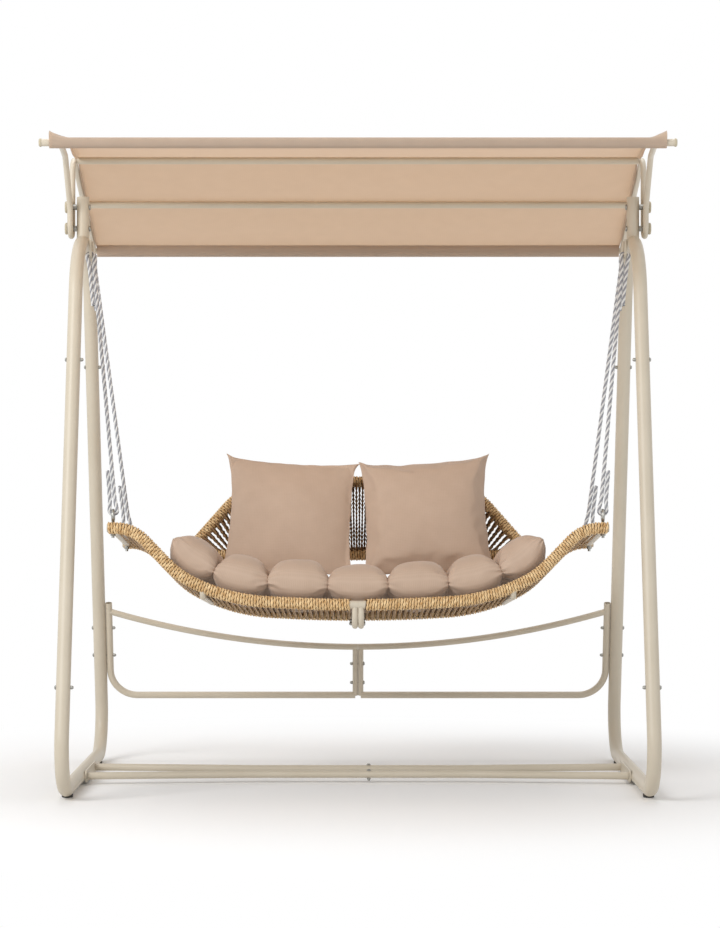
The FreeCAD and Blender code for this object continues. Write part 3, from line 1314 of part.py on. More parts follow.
def make_ropes():
    """Ropes: a loop round the hanger, a taut run, and a loop through the eye."""
    size = dim("rope_radius")
    flare = dim("rope_flare_radius")
    half = size + dim("rope_gap")
    hanger_x = SIDE_X - LEG_RADIUS - dim("hanger_bar_radius") - FIT
    axis = Vector(hanger_x, 0, dim("hanger_axis_height"))
    for name, y in (("front", -dim("eye_y")), ("rear", dim("eye_y"))):
        eye = SEAT_PLACE.multVec(eye_centre(y))
        aim = Vector(0, eye.y - axis.y, eye.z - axis.z).normalize()
        high = axis + aim * dim("hanger_radius")
        low = eye - aim * dim("eye_radius")
        up = (high - low).normalize()
        side = X_AXIS - up * X_AXIS.dot(up)
        side.normalize()

        def spot(across, height, base):
            return base + side * across + up * height

        def loop(base, sign, bar):
            """Half of a loop: where the flare starts, and where it meets the bend round the bar."""
            bend = bar + size + dim("rope_gap")
            rise = math.sqrt((bend + flare) ** 2 - (half + flare) ** 2)
            share = bend / (bend + flare)
            start = (half, sign * rise)
            meet = ((half + flare) * share, sign * rise * share)
            turn = math.atan2(rise, half + flare) / 2
            middle = (half + flare - flare * math.cos(turn), sign * (rise - flare * math.sin(turn)))
            return bend, start, middle, meet

        low_bend, start, middle, meet = loop(low, 1, dim("eye_bar_radius"))
        high_bend, start_h, middle_h, meet_h = loop(high, -1, dim("hanger_bar_radius"))
        low_side = [spot(*place, low) for place in (start, middle, meet)]
        low_far = [spot(-across, height, low) for across, height in (meet, middle, start)]
        high_far = [spot(-across, height, high) for across, height in (start_h, middle_h, meet_h)]
        high_side = [spot(*place, high) for place in (meet_h, middle_h, start_h)]
        edges = [
            Part.LineSegment(spot(half, dim("rope_low_tail"), low), low_side[0]),
            Part.Arc(*low_side),
            Part.Arc(low_side[2], spot(0, -low_bend, low), low_far[0]),
            Part.Arc(*low_far),
            Part.LineSegment(low_far[2], high_far[0]),
            Part.Arc(*high_far),
            Part.Arc(high_far[2], spot(0, high_bend, high), high_side[0]),
            Part.Arc(*high_side),
            Part.LineSegment(high_side[2], spot(half, -dim("rope_top_tail"), high)),
        ]
        path = Part.Wire([e.toShape() for e in edges])
        shape = rod(path, size)
        share = shape.Volume / (math.pi * size**2 * path.Length)
        print(f"{name} rope: {path.Length:.0f} mm long, volume {share:.4f} of section times length")
        both_sides(f"{name}_rope", feature(f"{name}_rope_right", shape))


def make_cushion():
    """Seat cushion: one sewn pad of channels that follows the boat shape of the rims."""
    count = int(dim("cushion_channels"))
    pitch = dim("channel_pitch")

    def lifted(distance, lift, y):
        """A point at a height over the strands' plane, by the distance along the rim."""
        x, z, slope = rim_at(abs(distance))
        x += -math.sin(slope) * lift
        z += math.cos(slope) * lift
        return Vector(math.copysign(x, distance) if distance else 0, y, z)

    def section(y, share):
        """Outline of the pad at one station; share scales its thickness about the seams."""
        seam = dim("cushion_seam")
        stitch = dim("seam_thickness") / 2
        top = seam + (dim("cushion_top") - seam) * share
        base = seam - (seam - dim("cushion_base")) * share
        half = count * pitch / 2
        seams = [-half + n * pitch for n in range(count + 1)]
        lobes = list(zip(seams, seams[1:]))

        def lobe(start, end, edge, crest):
            """One channel's arc, from seam to seam."""
            return Part.Arc(
                lifted(start, edge, y), lifted((start + end) / 2, crest, y), lifted(end, edge, y),
            ).toShape()

        def side(distance, start, end):
            """The pad's narrow side."""
            return Part.LineSegment(lifted(distance, start, y), lifted(distance, end, y)).toShape()

        over = [lobe(left, right, seam + stitch, top) for left, right in lobes]
        under = [lobe(right, left, seam - stitch, base) for left, right in reversed(lobes)]
        right_side = side(half, seam + stitch, seam - stitch)
        left_side = side(-half, seam - stitch, seam + stitch)
        return Part.Wire(over + [right_side] + under + [left_side])

    reach = dim("cushion_half_depth")
    stations = [(-1, 0.3), (-0.95, 0.72), (-0.8, 0.95), (0, 1), (0.8, 0.95), (0.95, 0.72), (1, 0.3)]
    sections = [section(reach * y, share) for y, share in stations]
    seat_piece("seat_cushion", Part.makeLoft(sections, True, True))


def make_pillows():
    """Scatter pillows: pointed corners, drawn-in edges and a crown on both faces."""
    half = dim("pillow_half")
    crown = dim("pillow_thickness") / 2
    hollow = dim("pillow_hollow")

    def outline(share, height):
        """The pillow's outline at a height off its seam."""
        corner = half * share
        edge = corner - hollow * (1 if share > 0.9 else -share)
        edges = []
        for k in range(4):
            turn = Rotation(Z_AXIS, 90 * k)
            edges.append(Part.Arc(
                turn.multVec(Vector(-corner, corner, height)),
                turn.multVec(Vector(0, edge, height)),
                turn.multVec(Vector(corner, corner, height)),
            ).toShape())
        edges = [edges[k] for k in (0, 3, 2, 1)]
        return Part.Wire(Part.__sortEdges__(edges))

    levels = [(0.45, -1), (0.74, -0.8), (0.9001, -0.34), (1, 0), (0.9001, 0.34), (0.74, 0.8), (0.45, 1)]
    shape = Part.makeLoft([outline(share, crown * level) for share, level in levels], True, True)
    lean = Rotation(X_AXIS, 90 - dim("pillow_lean"))
    for side, sign in (("right", 1), ("left", -1)):
        placed = shape.copy()
        spot = Vector(sign * dim("pillow_x"), dim("pillow_y"), dim("pillow_z"))
        placed.Placement = Placement(spot, lean * Rotation(Z_AXIS, sign * dim("pillow_roll")))
        seat_piece(f"{side}_pillow", Part.Solid(placed.Solids[0]))


def write_nodes():
    """Checks every object and writes each finished piece to its own file."""
    doc.recompute()
    failed = [o.Name for o in doc.Objects if "Invalid" in o.State or "Error" in o.State]
    for label, thing in NODES.items():
        shape = thing.Shape
        if shape.isNull() or not shape.isValid() or not shape.Solids:
            failed.append(label)
    if failed:
        raise RuntimeError(f"these pieces failed: {sorted(set(failed))}")
    os.makedirs("parts", exist_ok=True)
    for label, thing in NODES.items():
        thing.Shape.exportStep(f"parts/{label}.step")
    print(f"{len(NODES)} nodes written")


def main():
    """Builds the swing piece by piece and writes it."""
    make_arch()
    make_posts()
    make_legs()
    make_feet()
    make_floor_tubes()
    make_foot_pads()
    make_hangers()
    make_brace()
    make_stretcher()
    make_bolts()
    make_brackets()
    make_rails()
    make_cloth()
    make_pivots()
    make_seat_frame()
    make_back_frame()
    make_wraps()
    make_strands()
    make_eye_bolts()
    make_ropes()
    make_cushion()
    make_pillows()
    write_nodes()


main()
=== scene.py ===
"""Looks of the canopy swing chair: cords, cloth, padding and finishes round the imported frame."""

import json
import math

import bmesh
import bpy
import numpy as np
from bpy.props import FloatProperty, IntProperty, PointerProperty, StringProperty
from mathutils import Matrix, Vector, noise


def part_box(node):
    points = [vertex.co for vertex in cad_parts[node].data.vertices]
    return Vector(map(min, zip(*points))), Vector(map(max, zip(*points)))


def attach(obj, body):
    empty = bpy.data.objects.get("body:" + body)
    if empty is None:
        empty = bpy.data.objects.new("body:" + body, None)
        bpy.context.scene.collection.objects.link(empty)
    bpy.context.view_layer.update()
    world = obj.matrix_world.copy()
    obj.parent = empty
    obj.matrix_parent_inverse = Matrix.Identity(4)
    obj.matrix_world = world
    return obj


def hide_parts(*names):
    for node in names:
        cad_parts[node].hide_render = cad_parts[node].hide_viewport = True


bl_info = {
    "name": "Canopy swing chair",
    "version": (1, 0, 0),
    "blender": (4, 5, 0),
    "location": "View3D > Sidebar > Swing",
    "description": "Dresses the packed frame of a canopy swing chair with its cords, cloth and finishes",
    "category": "Object",
}

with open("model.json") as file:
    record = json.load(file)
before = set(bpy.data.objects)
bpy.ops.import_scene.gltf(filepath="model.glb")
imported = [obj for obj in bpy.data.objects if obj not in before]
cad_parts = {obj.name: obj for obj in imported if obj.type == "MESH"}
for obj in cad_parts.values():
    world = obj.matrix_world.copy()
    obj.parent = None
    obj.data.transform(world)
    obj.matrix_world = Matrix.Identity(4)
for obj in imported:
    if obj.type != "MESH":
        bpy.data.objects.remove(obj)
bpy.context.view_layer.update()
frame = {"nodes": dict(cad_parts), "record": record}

SEAT = "hanging_seat"
CANOPY = "canopy"
EDGES = (("front", -1), ("rear", 1))
HANDS = (("right", 1), ("left", -1))


# Colours and nodes


def linear(hex_code):
    """A colour written as sRGB hex, as the linear values that shaders take."""
    channels = [int(hex_code[i:i + 2], 16) / 255 for i in (1, 3, 5)]
    return tuple(c / 12.92 if c <= 0.04045 else ((c + 0.055) / 1.055) ** 2.4 for c in channels)


def paint(hex_code):
    """The same colour with full alpha, for a shader socket."""
    return (*linear(hex_code), 1.0)


def set_inputs(tree, node, inputs):
    """Puts a value or a link on each input named."""
    for key, value in inputs.items():
        if isinstance(value, bpy.types.NodeSocket):
            tree.links.new(value, node.inputs[key])
        else:
            node.inputs[key].default_value = value


def add_node(tree, kind, settings=None, inputs=None):
    """Adds one node, with its settings and its inputs."""
    made = tree.nodes.new(kind)
    for key, value in (settings or {}).items():
        setattr(made, key, value)
    set_inputs(tree, made, inputs or {})
    return made


def new_material(name):
    """An empty node material with its output and its shader: (material, tree, shader)."""
    material = bpy.data.materials.new(name)
    material.use_nodes = True
    tree = material.node_tree
    tree.nodes.clear()
    shader = add_node(tree, "ShaderNodeBsdfPrincipled")
    add_node(tree, "ShaderNodeOutputMaterial", inputs={"Surface": shader.outputs["BSDF"]})
    return material, tree, shader


def mix_at_output(tree, share, first, second):
    """Sends a mix of two shaders to the material's output."""
    mix = add_node(tree, "ShaderNodeMixShader", inputs={0: share, 1: first, 2: second})
    output = next(n for n in tree.nodes if n.type == "OUTPUT_MATERIAL")
    tree.links.new(mix.outputs["Shader"], output.inputs["Surface"])


def object_place(tree):
    """The object's own coordinates, in metres."""
    return add_node(tree, "ShaderNodeTexCoord").outputs["Object"]


def per_metre(millimetres):
    """Texture scale for a pattern that repeats at this size."""
    return 1000.0 / millimetres


def grain(tree, place, millimetres, detail):
    """The factor of a noise with grains of this size."""
    made = add_node(tree, "ShaderNodeTexNoise", inputs={
        "Vector": place, "Scale": per_metre(millimetres), "Detail": detail})
    return made.outputs["Fac"]


def ranged(tree, value, low, high, start=0.0, end=1.0):
    """A value from start to end, moved to lie from low to high."""
    made = add_node(tree, "ShaderNodeMapRange", inputs={
        "Value": value, "From Min": start, "From Max": end, "To Min": low, "To Max": high})
    return made.outputs["Result"]


def calculated(tree, operation, *values, **settings):
    """The result of one operation on these values."""
    made = add_node(tree, "ShaderNodeMath", {"operation": operation, **settings}, dict(enumerate(values)))
    return made.outputs[0]


def two_tones(tree, factor, low, high):
    """A colour between two tones, by a factor; a tone is a hex code or a socket."""
    low, high = (paint(tone) if isinstance(tone, str) else tone for tone in (low, high))
    return add_node(tree, "ShaderNodeMix", {"data_type": "RGBA"}, {0: factor, 6: low, 7: high}).outputs[2]


def relief(tree, height, strength, distance, over=None):
    """The normal of a bump, laid over another normal if one is given."""
    inputs = {"Strength": strength, "Distance": distance, "Height": height}
    if over is not None:
        inputs["Normal"] = over
    return add_node(tree, "ShaderNodeBump", inputs=inputs).outputs["Normal"]


# Finishes

# Tones, dark and light, that are not settings: painted shade for straw that lies in the shade, metal, plastic and
# the floor.
# Painted deep shade: a near-black copy of the straw cord, for the run that fills the gaps between the turns of
# wound cord.
PAINTED_DEEP_SHADE_STRAW = ("#3f2812", "#5a3c1e")
# Painted shade: a darker copy of the straw cord, for the seat strands' lower runs under the rims.
SHADED_STRAW = ("#a68154", "#d3b083")
# Painted shade: a darker copy again, for the seat strands' upper runs under the cushion and the strands of the back
# behind the pillows.
PAINTED_SHADE_STRAW = ("#684625", "#957042")
WHITE_YARN_SHADE = "#d3d3d1"
GREY_YARN_SHADE = "#74757c"
ZINC = ("#8f8f8b", "#b7b6b0")
BEIGE_PLASTIC = ("#b3a88f", "#c4b9a1")
DARK_PLASTIC = ("#1d1b19", "#2a2825")
FLOOR = ("#f9f9f9", "#fdfdfd")
DAYLIGHT = "#fae4cb"


def powder_coat(name, low, high):
    """Polyester powder coat on steel tube: an even satin skin with a faint orange peel."""
    material, tree, shader = new_material(name)
    place = object_place(tree)
    cloud = grain(tree, place, 120, 3.0)
    # The peel is about 1 mm on the real tube, and is drawn at 2.5 mm so that it shows.
    peel = grain(tree, place, 2.5, 2.0)
    set_inputs(tree, shader, {
        "Base Color": two_tones(tree, cloud, low, high),
        "Roughness": ranged(tree, cloud, 0.36, 0.48),
        "Normal": relief(tree, peel, 0.06, 0.0006),
    })
    return material


def zinc_plate(name, low, high):
    """Bright zinc plate on bolts: a grey metal with fine drawn lines and dull patches."""
    material, tree, shader = new_material(name)
    place = object_place(tree)
    lines = add_node(tree, "ShaderNodeMapping", inputs={"Vector": place, "Scale": (1.0, 6.0, 6.0)})
    drawn = grain(tree, lines.outputs["Vector"], 3, 4.0)
    patch = grain(tree, place, 9, 2.0)
    set_inputs(tree, shader, {
        "Base Color": two_tones(tree, patch, low, high),
        "Metallic": 1.0,
        "Roughness": ranged(tree, patch, 0.26, 0.46),
        "Normal": relief(tree, drawn, 0.08, 0.0003),
    })
    return material


def moulded_plastic(name, low, high):
    """Injection-moulded polypropylene: matt, with the fine grain of a spark-eroded mould."""
    material, tree, shader = new_material(name)
    place = object_place(tree)
    set_inputs(tree, shader, {
        "Base Color": two_tones(tree, grain(tree, place, 30, 2.0), low, high),
        "Roughness": 0.55,
        "Normal": relief(tree, grain(tree, place, 0.8, 2.0), 0.15, 0.0003),
    })
    return material


def straw_cord(name, low, high, shade):
    """Twisted polyethylene straw: long fibres that catch the light, with painted shade of the crevices between the
    plies laid on in flecks by a fibre noise.
    """
    material, tree, shader = new_material(name)
    place = object_place(tree)
    fibre = grain(tree, place, 2.2, 5.0)
    batch = ranged(tree, grain(tree, place, 14, 3.0), 0.0, 1.0, 0.3, 0.7)
    # Painted shade between the plies: the fibre noise darkens flecks of the cord towards the shade tone, by up to a
    # little over half.
    dark = ranged(tree, fibre, 0.55, 0.0, 0.25, 0.45)
    set_inputs(tree, shader, {
        "Base Color": two_tones(tree, dark, two_tones(tree, batch, low, high), shade),
        "Roughness": 0.52,
        "Normal": relief(tree, fibre, 0.5, 0.0008),
    })
    return material


def rope_yarn(name, low, high):
    """Polypropylene yarn of a laid rope: soft filaments with a slight sheen."""
    material, tree, shader = new_material(name)
    yarn = grain(tree, object_place(tree), 1.6, 4.0)
    set_inputs(tree, shader, {
        "Base Color": two_tones(tree, yarn, low, high),
        "Roughness": 0.7,
        "Sheen Weight": 0.2,
        "Normal": relief(tree, yarn, 0.6, 0.0008),
    })
    return material


def woven_cloth(name, low, high, thread, sheen, through):
    """Plain-woven polyester: fine crossing threads, slubs, a soft sheen, and daylight through a thin cloth.

    thread is the threads' spacing in millimetres, and through the share of the light that comes through.
    """
    material, tree, shader = new_material(name)
    place = add_node(tree, "ShaderNodeTexCoord").outputs["UV"]
    threads = []
    for direction in ("X", "Y"):
        wave = add_node(tree, "ShaderNodeTexWave", {"wave_type": "BANDS", "bands_direction": direction}, {
            "Vector": place, "Scale": per_metre(thread) / (2 * math.pi), "Distortion": 0.6,
            "Detail": 1.0, "Detail Scale": 1.5})
        threads.append(wave.outputs["Fac"])
    weave = calculated(tree, "MAXIMUM", *threads)
    crossing = calculated(tree, "MULTIPLY", weave, 0.35)
    slub = grain(tree, place, 45, 5.0)
    blend = calculated(tree, "MULTIPLY_ADD", slub, 0.75, crossing, use_clamp=True)
    fold = grain(tree, place, 90, 3.0)
    normal = relief(tree, fold, 0.25, 0.004, relief(tree, weave, 0.25, 0.0004))
    set_inputs(tree, shader, {
        "Base Color": two_tones(tree, blend, low, high),
        "Roughness": 0.78,
        "Sheen Weight": sheen,
        "Sheen Roughness": 0.4,
        "Normal": normal,
    })
    if through:
        glow = add_node(tree, "ShaderNodeBsdfTranslucent", inputs={"Color": paint(DAYLIGHT), "Normal": normal})
        mix_at_output(tree, through, shader.outputs["BSDF"], glow.outputs["BSDF"])
    return material


# Sizes and colours that a user would change


def metres(name, description, default):
    """A setting in metres."""
    return FloatProperty(name=name, description=description, default=default, unit="LENGTH")


def hex_tone(name, description, default):
    """A colour setting, as sRGB hex."""
    return StringProperty(name=name, description=description, default=default)


class SeatSizes(bpy.types.PropertyGroup):
    """The hanging seat's own shape, repeated from the frame's source."""

    base_y: metres("Seat from axis", "Middle of the seat from the swing axis, to the back", -0.090)
    base_z: metres("Seat height", "Low point of the rims", 0.480)
    tilt: FloatProperty(name="Seat tilt", description="Lean of the seat to the back",
                        default=math.radians(6.5), subtype="ANGLE")
    half_depth: metres("Half depth", "Rims from the middle of the seat", 0.235)
    tube_radius: metres("Rim tube", "Radius of the bare rim", 0.011)
    wrap_radius: metres("Wrapped rim", "Radius of the rim with its cord", 0.0165)
    wrap_pitch: metres("Turn spacing", "Cord turns along the rim", 0.0075)
    strand_pitch: metres("Strand spacing", "Seat strands along the rim", 0.015)
    back_strands: IntProperty(name="Back strands", description="Strands of the back", default=61)


class ClothSizes(bpy.types.PropertyGroup):
    """Cushion, pillows and canopy."""

    channels: IntProperty(name="Channels", description="Channels of the seat cushion", default=7)
    channel_pitch: metres("Channel width", "Along the rim", 0.165)
    pillow_half: metres("Half pillow", "Half of a pillow's side", 0.199)
    side_hem: metres("Side hem", "Canopy cloth turned down between the rails", 0.020)


class FinishColours(bpy.types.PropertyGroup):
    """The two tones of each finish, as sRGB hex."""

    paint_dark: hex_tone("Paint, dark", "Frame's powder coat", "#c3b8a4")
    paint_light: hex_tone("Paint, light", "Frame's powder coat", "#d0c6b4")
    straw_dark: hex_tone("Straw, dark", "Wound straw cord", "#c49a62")
    straw_light: hex_tone("Straw, light", "Wound straw cord", "#f9dcab")
    # Painted shade of the crevices between the plies, which every straw cord takes on in flecks.
    straw_painted_shade: hex_tone("Straw, between", "Where its plies meet", "#3a220c")
    cushion_dark: hex_tone("Cushion, dark", "Cushion and pillows", "#b59c88")
    cushion_light: hex_tone("Cushion, light", "Cushion and pillows", "#c6ae9a")
    canopy_dark: hex_tone("Canopy, dark", "Canopy cloth", "#b5a798")
    canopy_light: hex_tone("Canopy, light", "Canopy cloth", "#c7b9aa")
    rope_white: hex_tone("Rope, white", "White strands", "#f2f2f1")
    rope_grey: hex_tone("Rope, grey", "Grey strands", "#aeafb5")


class StageSizes(bpy.types.PropertyGroup):
    """The camera."""

    distance: metres("Camera distance", "Camera in front of the swing", 7.3)
    eye: metres("Camera height", "Lens above the floor", 0.854)
    lens: FloatProperty(name="Lens", description="Focal length in millimetres", default=101.1, unit="CAMERA")


# The seat's shape


def sizes():
    """The seat's settings in this scene."""
    return bpy.context.scene.swing_seat


def colours():
    """The finishes' settings in this scene."""
    return bpy.context.scene.swing_colours


def seat_matrix():
    """From the seat's own level frame to the room."""
    s = sizes()
    return Matrix.Translation((0, s.base_y, s.base_z)) @ Matrix.Rotation(-s.tilt, 4, "X")


RIM_ARCS = (
    (3.900, 0.0, 3.7),
    (0.500, 3.7, 28.0),
    (0.220, 28.0, 46.0),
    (None, 0.092, 46.0),
    (-0.108, 46.0, 0.0),
)
END_BAR_X = 0.660
END_BAR_RADIUS = 0.0105
RIM_END_RUN = 0.014
MID_RIB_X = 0.416


def rim_at(distance):
    """(x, z, slope) of the rim's centre line, by the distance along it from the middle."""
    x = z = slope = 0.0
    left = distance
    for radius, start, end in RIM_ARCS:
        end = math.radians(end)
        if radius is None:
            step = min(left, start)
            slope = end
            x += step * math.cos(slope)
            z += step * math.sin(slope)
        else:
            start = math.radians(start)
            step = min(left, radius * (end - start))
            slope = start + step / radius
            x += radius * (math.sin(slope) - math.sin(start))
            z += radius * (math.cos(start) - math.cos(slope))
        left -= step
        if left <= 1e-9:
            return x, z, slope
    return x + left, z, 0.0


def rim_length():
    """From the middle of the rim to the end bar's centre."""
    turn = sum(r * math.radians(e - s) if r else s for r, s, e in RIM_ARCS)
    return turn + END_BAR_X - rim_at(turn)[0]


def rim_frame(distance, y, side):
    """(centre, normal, binormal) of a rim, in the seat's frame; side is 1 or -1."""
    x, z, slope = rim_at(distance)
    return Vector((side * x, y, z)), Vector((-side * math.sin(slope), 0, math.cos(slope))), Vector((0, 1, 0))


BACK_RAKE = math.radians(15)
BACK_TOP = 0.405
CROWN = (1.500, math.radians(11.5))
CORNER = (0.130, math.radians(51))
BACK_RAIL = 0.180
BACK_FOOT = 0.1349
STRAND_SPREAD = 0.440


def back_point(across, height):
    """A point of the back's leaning plane, which meets the rear rim at the feet, in the seat's frame."""
    depth = sizes().half_depth + (height - BACK_FOOT) * math.sin(BACK_RAKE)
    return Vector((across, depth, height * math.cos(BACK_RAKE)))


def back_forward():
    """The way out of the back's plane, to the front."""
    return Vector((0, -math.cos(BACK_RAKE), math.sin(BACK_RAKE)))


def back_at(distance):
    """(across, height, slope) of the back's arch, by the distance along it from the crown."""
    radius, angle = CROWN
    small, side = CORNER
    if distance <= radius * angle:
        slope = distance / radius
        return radius * math.sin(slope), BACK_TOP - radius * (1 - math.cos(slope)), slope
    x = radius * math.sin(angle)
    z = BACK_TOP - radius * (1 - math.cos(angle))
    distance -= radius * angle
    slope = min(angle + distance / small, side)
    x += small * (math.sin(slope) - math.sin(angle))
    z -= small * (math.cos(angle) - math.cos(slope))
    left = max(distance - small * (side - angle), 0)
    return x + left * math.cos(side), z - left * math.sin(side), slope


def back_distance(height):
    """How far along the arch its straight side comes down to a height."""
    bend = CROWN[0] * CROWN[1] + CORNER[0] * (CORNER[1] - CROWN[1])
    return bend + (back_at(bend)[1] - height) / math.sin(CORNER[1])


def back_frame(distance):
    """(centre, normal, binormal) of the back's arch, in the seat's frame; negative distances are on the left."""
    x, height, slope = back_at(abs(distance))
    side = math.copysign(1, distance)
    rise = math.cos(slope)
    tilt = Vector((side * math.sin(slope), rise * math.sin(BACK_RAKE), rise * math.cos(BACK_RAKE)))
    return back_point(side * x, height), tilt, back_forward()


# Making pieces


def link(name, mesh, *materials):
    """A new object of this mesh in the scene, shaded smooth."""
    piece = bpy.data.objects.new(name, mesh)
    bpy.context.scene.collection.objects.link(piece)
    for n, material in enumerate(materials):
        if n < len(mesh.materials):
            mesh.materials[n] = material
        else:
            mesh.materials.append(material)
    mesh.shade_smooth()
    return piece


def curve_mesh(name, runs, section=None, resolution=1):
    """A mesh of smooth runs, swept by a cord's section if one is given.

    Each run is (points, tilts, material index); a run without a twist has None for its tilts.
    """
    data = bpy.data.curves.new(name, "CURVE")
    data.dimensions = "3D"
    data.twist_mode = "MINIMUM"
    if section:
        profile = ply_profile(*section)
        data.bevel_mode = "OBJECT"
        data.bevel_object = profile
    # A spline can take only the index of a slot that is there before it.
    for _ in range(1 + max(index for _, _, index in runs)):
        data.materials.append(None)
    for points, tilts, index in runs:
        spline = data.splines.new("NURBS")
        spline.points.add(len(points) - 1)
        for n, (knot, spot) in enumerate(zip(spline.points, points)):
            knot.co = (*spot, 1)
            knot.tilt = tilts[n] if tilts else 0.0
        spline.order_u = 3
        spline.use_endpoint_u = True
        spline.resolution_u = resolution
        spline.material_index = index
    holder = bpy.data.objects.new(name, data)
    bpy.context.scene.collection.objects.link(holder)
    ready = holder.evaluated_get(bpy.context.evaluated_depsgraph_get())
    mesh = bpy.data.meshes.new_from_object(ready)
    # An object goes with its curve.
    bpy.data.curves.remove(data)
    if section:
        bpy.data.curves.remove(profile.data)
    return mesh


PLY_DENT = 0.22


def ply_profile(width, height, plies, sides):
    """A flat closed outline of a twisted cord: lobes for its plies, drawn out to width by height."""
    data = bpy.data.curves.new("cord_section", "CURVE")
    data.dimensions = "2D"
    spline = data.splines.new("POLY")
    spline.points.add(sides - 1)
    spline.use_cyclic_u = True
    for n, knot in enumerate(spline.points):
        turn = 2 * math.pi * n / sides
        lobe = 1 - PLY_DENT * math.sin(plies * turn / 2) ** 2
        knot.co = (width / 2 * lobe * math.cos(turn), height / 2 * lobe * math.sin(turn), 0, 1)
    holder = bpy.data.objects.new("cord_section", data)
    bpy.context.scene.collection.objects.link(holder)
    return holder


# Wound and strung cord

# The wound cord has two plies, and its twist puts a turn's broad places beside the next turn's narrow ones.
PLY = 0.0043
PLY_SECTION = (PLY, PLY, 0, 6)
PLY_OFFSET = 0.0019
PLY_STEPS = 24
TWISTS_PER_TURN = 2.75
# The run of painted deep shade between the turns: how far it lies in from the plies, and its steps a turn.
SHADE_RUN_DROP = 0.0016
SHADE_RUN_STEPS = 12


def winding(route, start, end):
    """Runs of a two-ply cord wound on a tube, over a run of painted deep shade in the gaps between its turns.

    route gives the tube's frame, (centre, normal, binormal), at a distance along it.
    """
    pitch = sizes().wrap_pitch
    radius = sizes().wrap_radius - PLY_OFFSET - PLY / 3
    turns = max(int((end - start) / pitch), 1)

    def on_tube(turn):
        """The tube's centre, its own direction and the way out from it, after so many turns."""
        centre, normal, binormal = route(start + (end - start) * turn / turns)
        angle = 2 * math.pi * turn
        return centre, normal.cross(binormal), normal * math.cos(angle) + binormal * math.sin(angle)

    runs = []
    for side in (1, -1):
        points = []
        for n in range(turns * PLY_STEPS + 1):
            centre, along, out = on_tube(n / PLY_STEPS)
            twist = 2 * math.pi * TWISTS_PER_TURN * n / PLY_STEPS
            offset = (out * math.cos(twist) + along * math.sin(twist)) * PLY_OFFSET * side
            points.append(centre + out * radius + offset)
        runs.append((points, None, 0))
    # A dark run in painted deep shade fills the gaps between the turns, half a turn along.
    shade_run = []
    for n in range(SHADE_RUN_STEPS // 2, turns * SHADE_RUN_STEPS - SHADE_RUN_STEPS // 2 + 1):
        centre, along, out = on_tube(n / SHADE_RUN_STEPS)
        shade_run.append(centre + out * (radius - SHADE_RUN_DROP) + along * pitch / 2)
    runs.append((shade_run, None, 1))
    return runs


def cord_piece(name, runs, section, materials, *nodes):
    """One piece of straw cord on the seat, in place of the frame's nodes."""
    mesh = curve_mesh(name, runs, section)
    mesh.transform(seat_matrix())
    piece = link(name, mesh, *materials)
    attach(piece, SEAT)
    if nodes:
        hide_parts(*nodes)


# The rims' cord leaves the centre joint free, and stops short of the tubes' ends.
RIM_WRAP_START = 0.0205
RIM_WRAP_STOP = 0.004
# The back's cord stops above the arch's feet, and on the rail where it meets the arch.
FOOT_BARE = 0.023
RAIL_BARE = 0.020


class SWING_OT_rim_wraps(bpy.types.Operator):
    """Winds straw cord round the four half rims"""

    bl_idname = "swing.rim_wraps"
    bl_label = "Rim wraps"

    def execute(self, context):
        c = colours()
        straw = (
            straw_cord("twisted_straw_cord", c.straw_dark, c.straw_light, c.straw_painted_shade),
            # The second is painted deep shade, for the run between the turns.
            straw_cord("painted_deep_shade_straw_cord", *PAINTED_DEEP_SHADE_STRAW, c.straw_painted_shade),
        )
        end = rim_length() + RIM_END_RUN - RIM_WRAP_STOP
        for edge, way in EDGES:
            y = way * sizes().half_depth
            for hand, side in HANDS:
                runs = winding(lambda d: rim_frame(d, y, side), RIM_WRAP_START, end)
                nodes = ["rim_wraps"] if (edge, hand) == ("front", "right") else []
                cord_piece(f"{edge}_rim_cord_{hand}", runs, PLY_SECTION, straw, *nodes)
        return {"FINISHED"}


class SWING_OT_back_wraps(bpy.types.Operator):
    """Winds straw cord round the arch and the lower rail of the back"""

    bl_idname = "swing.back_wraps"
    bl_label = "Back wraps"

    def execute(self, context):
        # The wound cord, and the painted deep shade between its turns.
        straw = [bpy.data.materials[name] for name in ("twisted_straw_cord", "painted_deep_shade_straw_cord")]
        reach = back_distance(BACK_FOOT + FOOT_BARE)
        half = back_at(back_distance(BACK_RAIL))[0] - RAIL_BARE

        def rail(distance):
            upright = Vector((0, math.sin(BACK_RAKE), math.cos(BACK_RAKE)))
            return back_point(distance, BACK_RAIL), upright, back_forward()

        cord_piece("back_arch_cord", winding(back_frame, -reach, reach), PLY_SECTION, straw, "back_wrap")
        cord_piece("back_rail_cord", winding(rail, -half, half), PLY_SECTION, straw)
        return {"FINISHED"}


CORD_STEP = 0.012


def straight_cord(start, end, offset, lead, index):
    """A run of twisted cord between two points, moved by an offset; lead is the length of one twist."""
    length = (end - start).length
    count = max(int(length / CORD_STEP), 4)
    points = [start.lerp(end, n / count) + offset for n in range(count + 1)]
    tilts = [2 * math.pi * length * n / count / lead for n in range(count + 1)]
    return points, tilts, index


# Seat strands: pairs of cord from rim to rim. Each goes round both rims, so that its lower runs lie this far
# under the rims' centre lines, and they leave room for the middle rib.
STRAND_SECTION = (0.0046, 0.0038, 2, 6)
STRAND_GAP = 0.0020
STRAND_LEAD = 0.03
STRAND_BITE = 0.001
FIRST_STRAND = 0.0246
LAST_STRAND = 0.008
UNDER_DROP = 0.0135
RIB_ROOM = 0.013
# Back strands: one cord up and down between arch and rail, in front of their centre lines and behind by turns.
BACK_SECTION = (0.0098, 0.0082, 2, 8)
BACK_LEAD = 0.022
BACK_OFF = 0.0105
BACK_INSET = 0.008
BACK_SHORTEST = 0.045


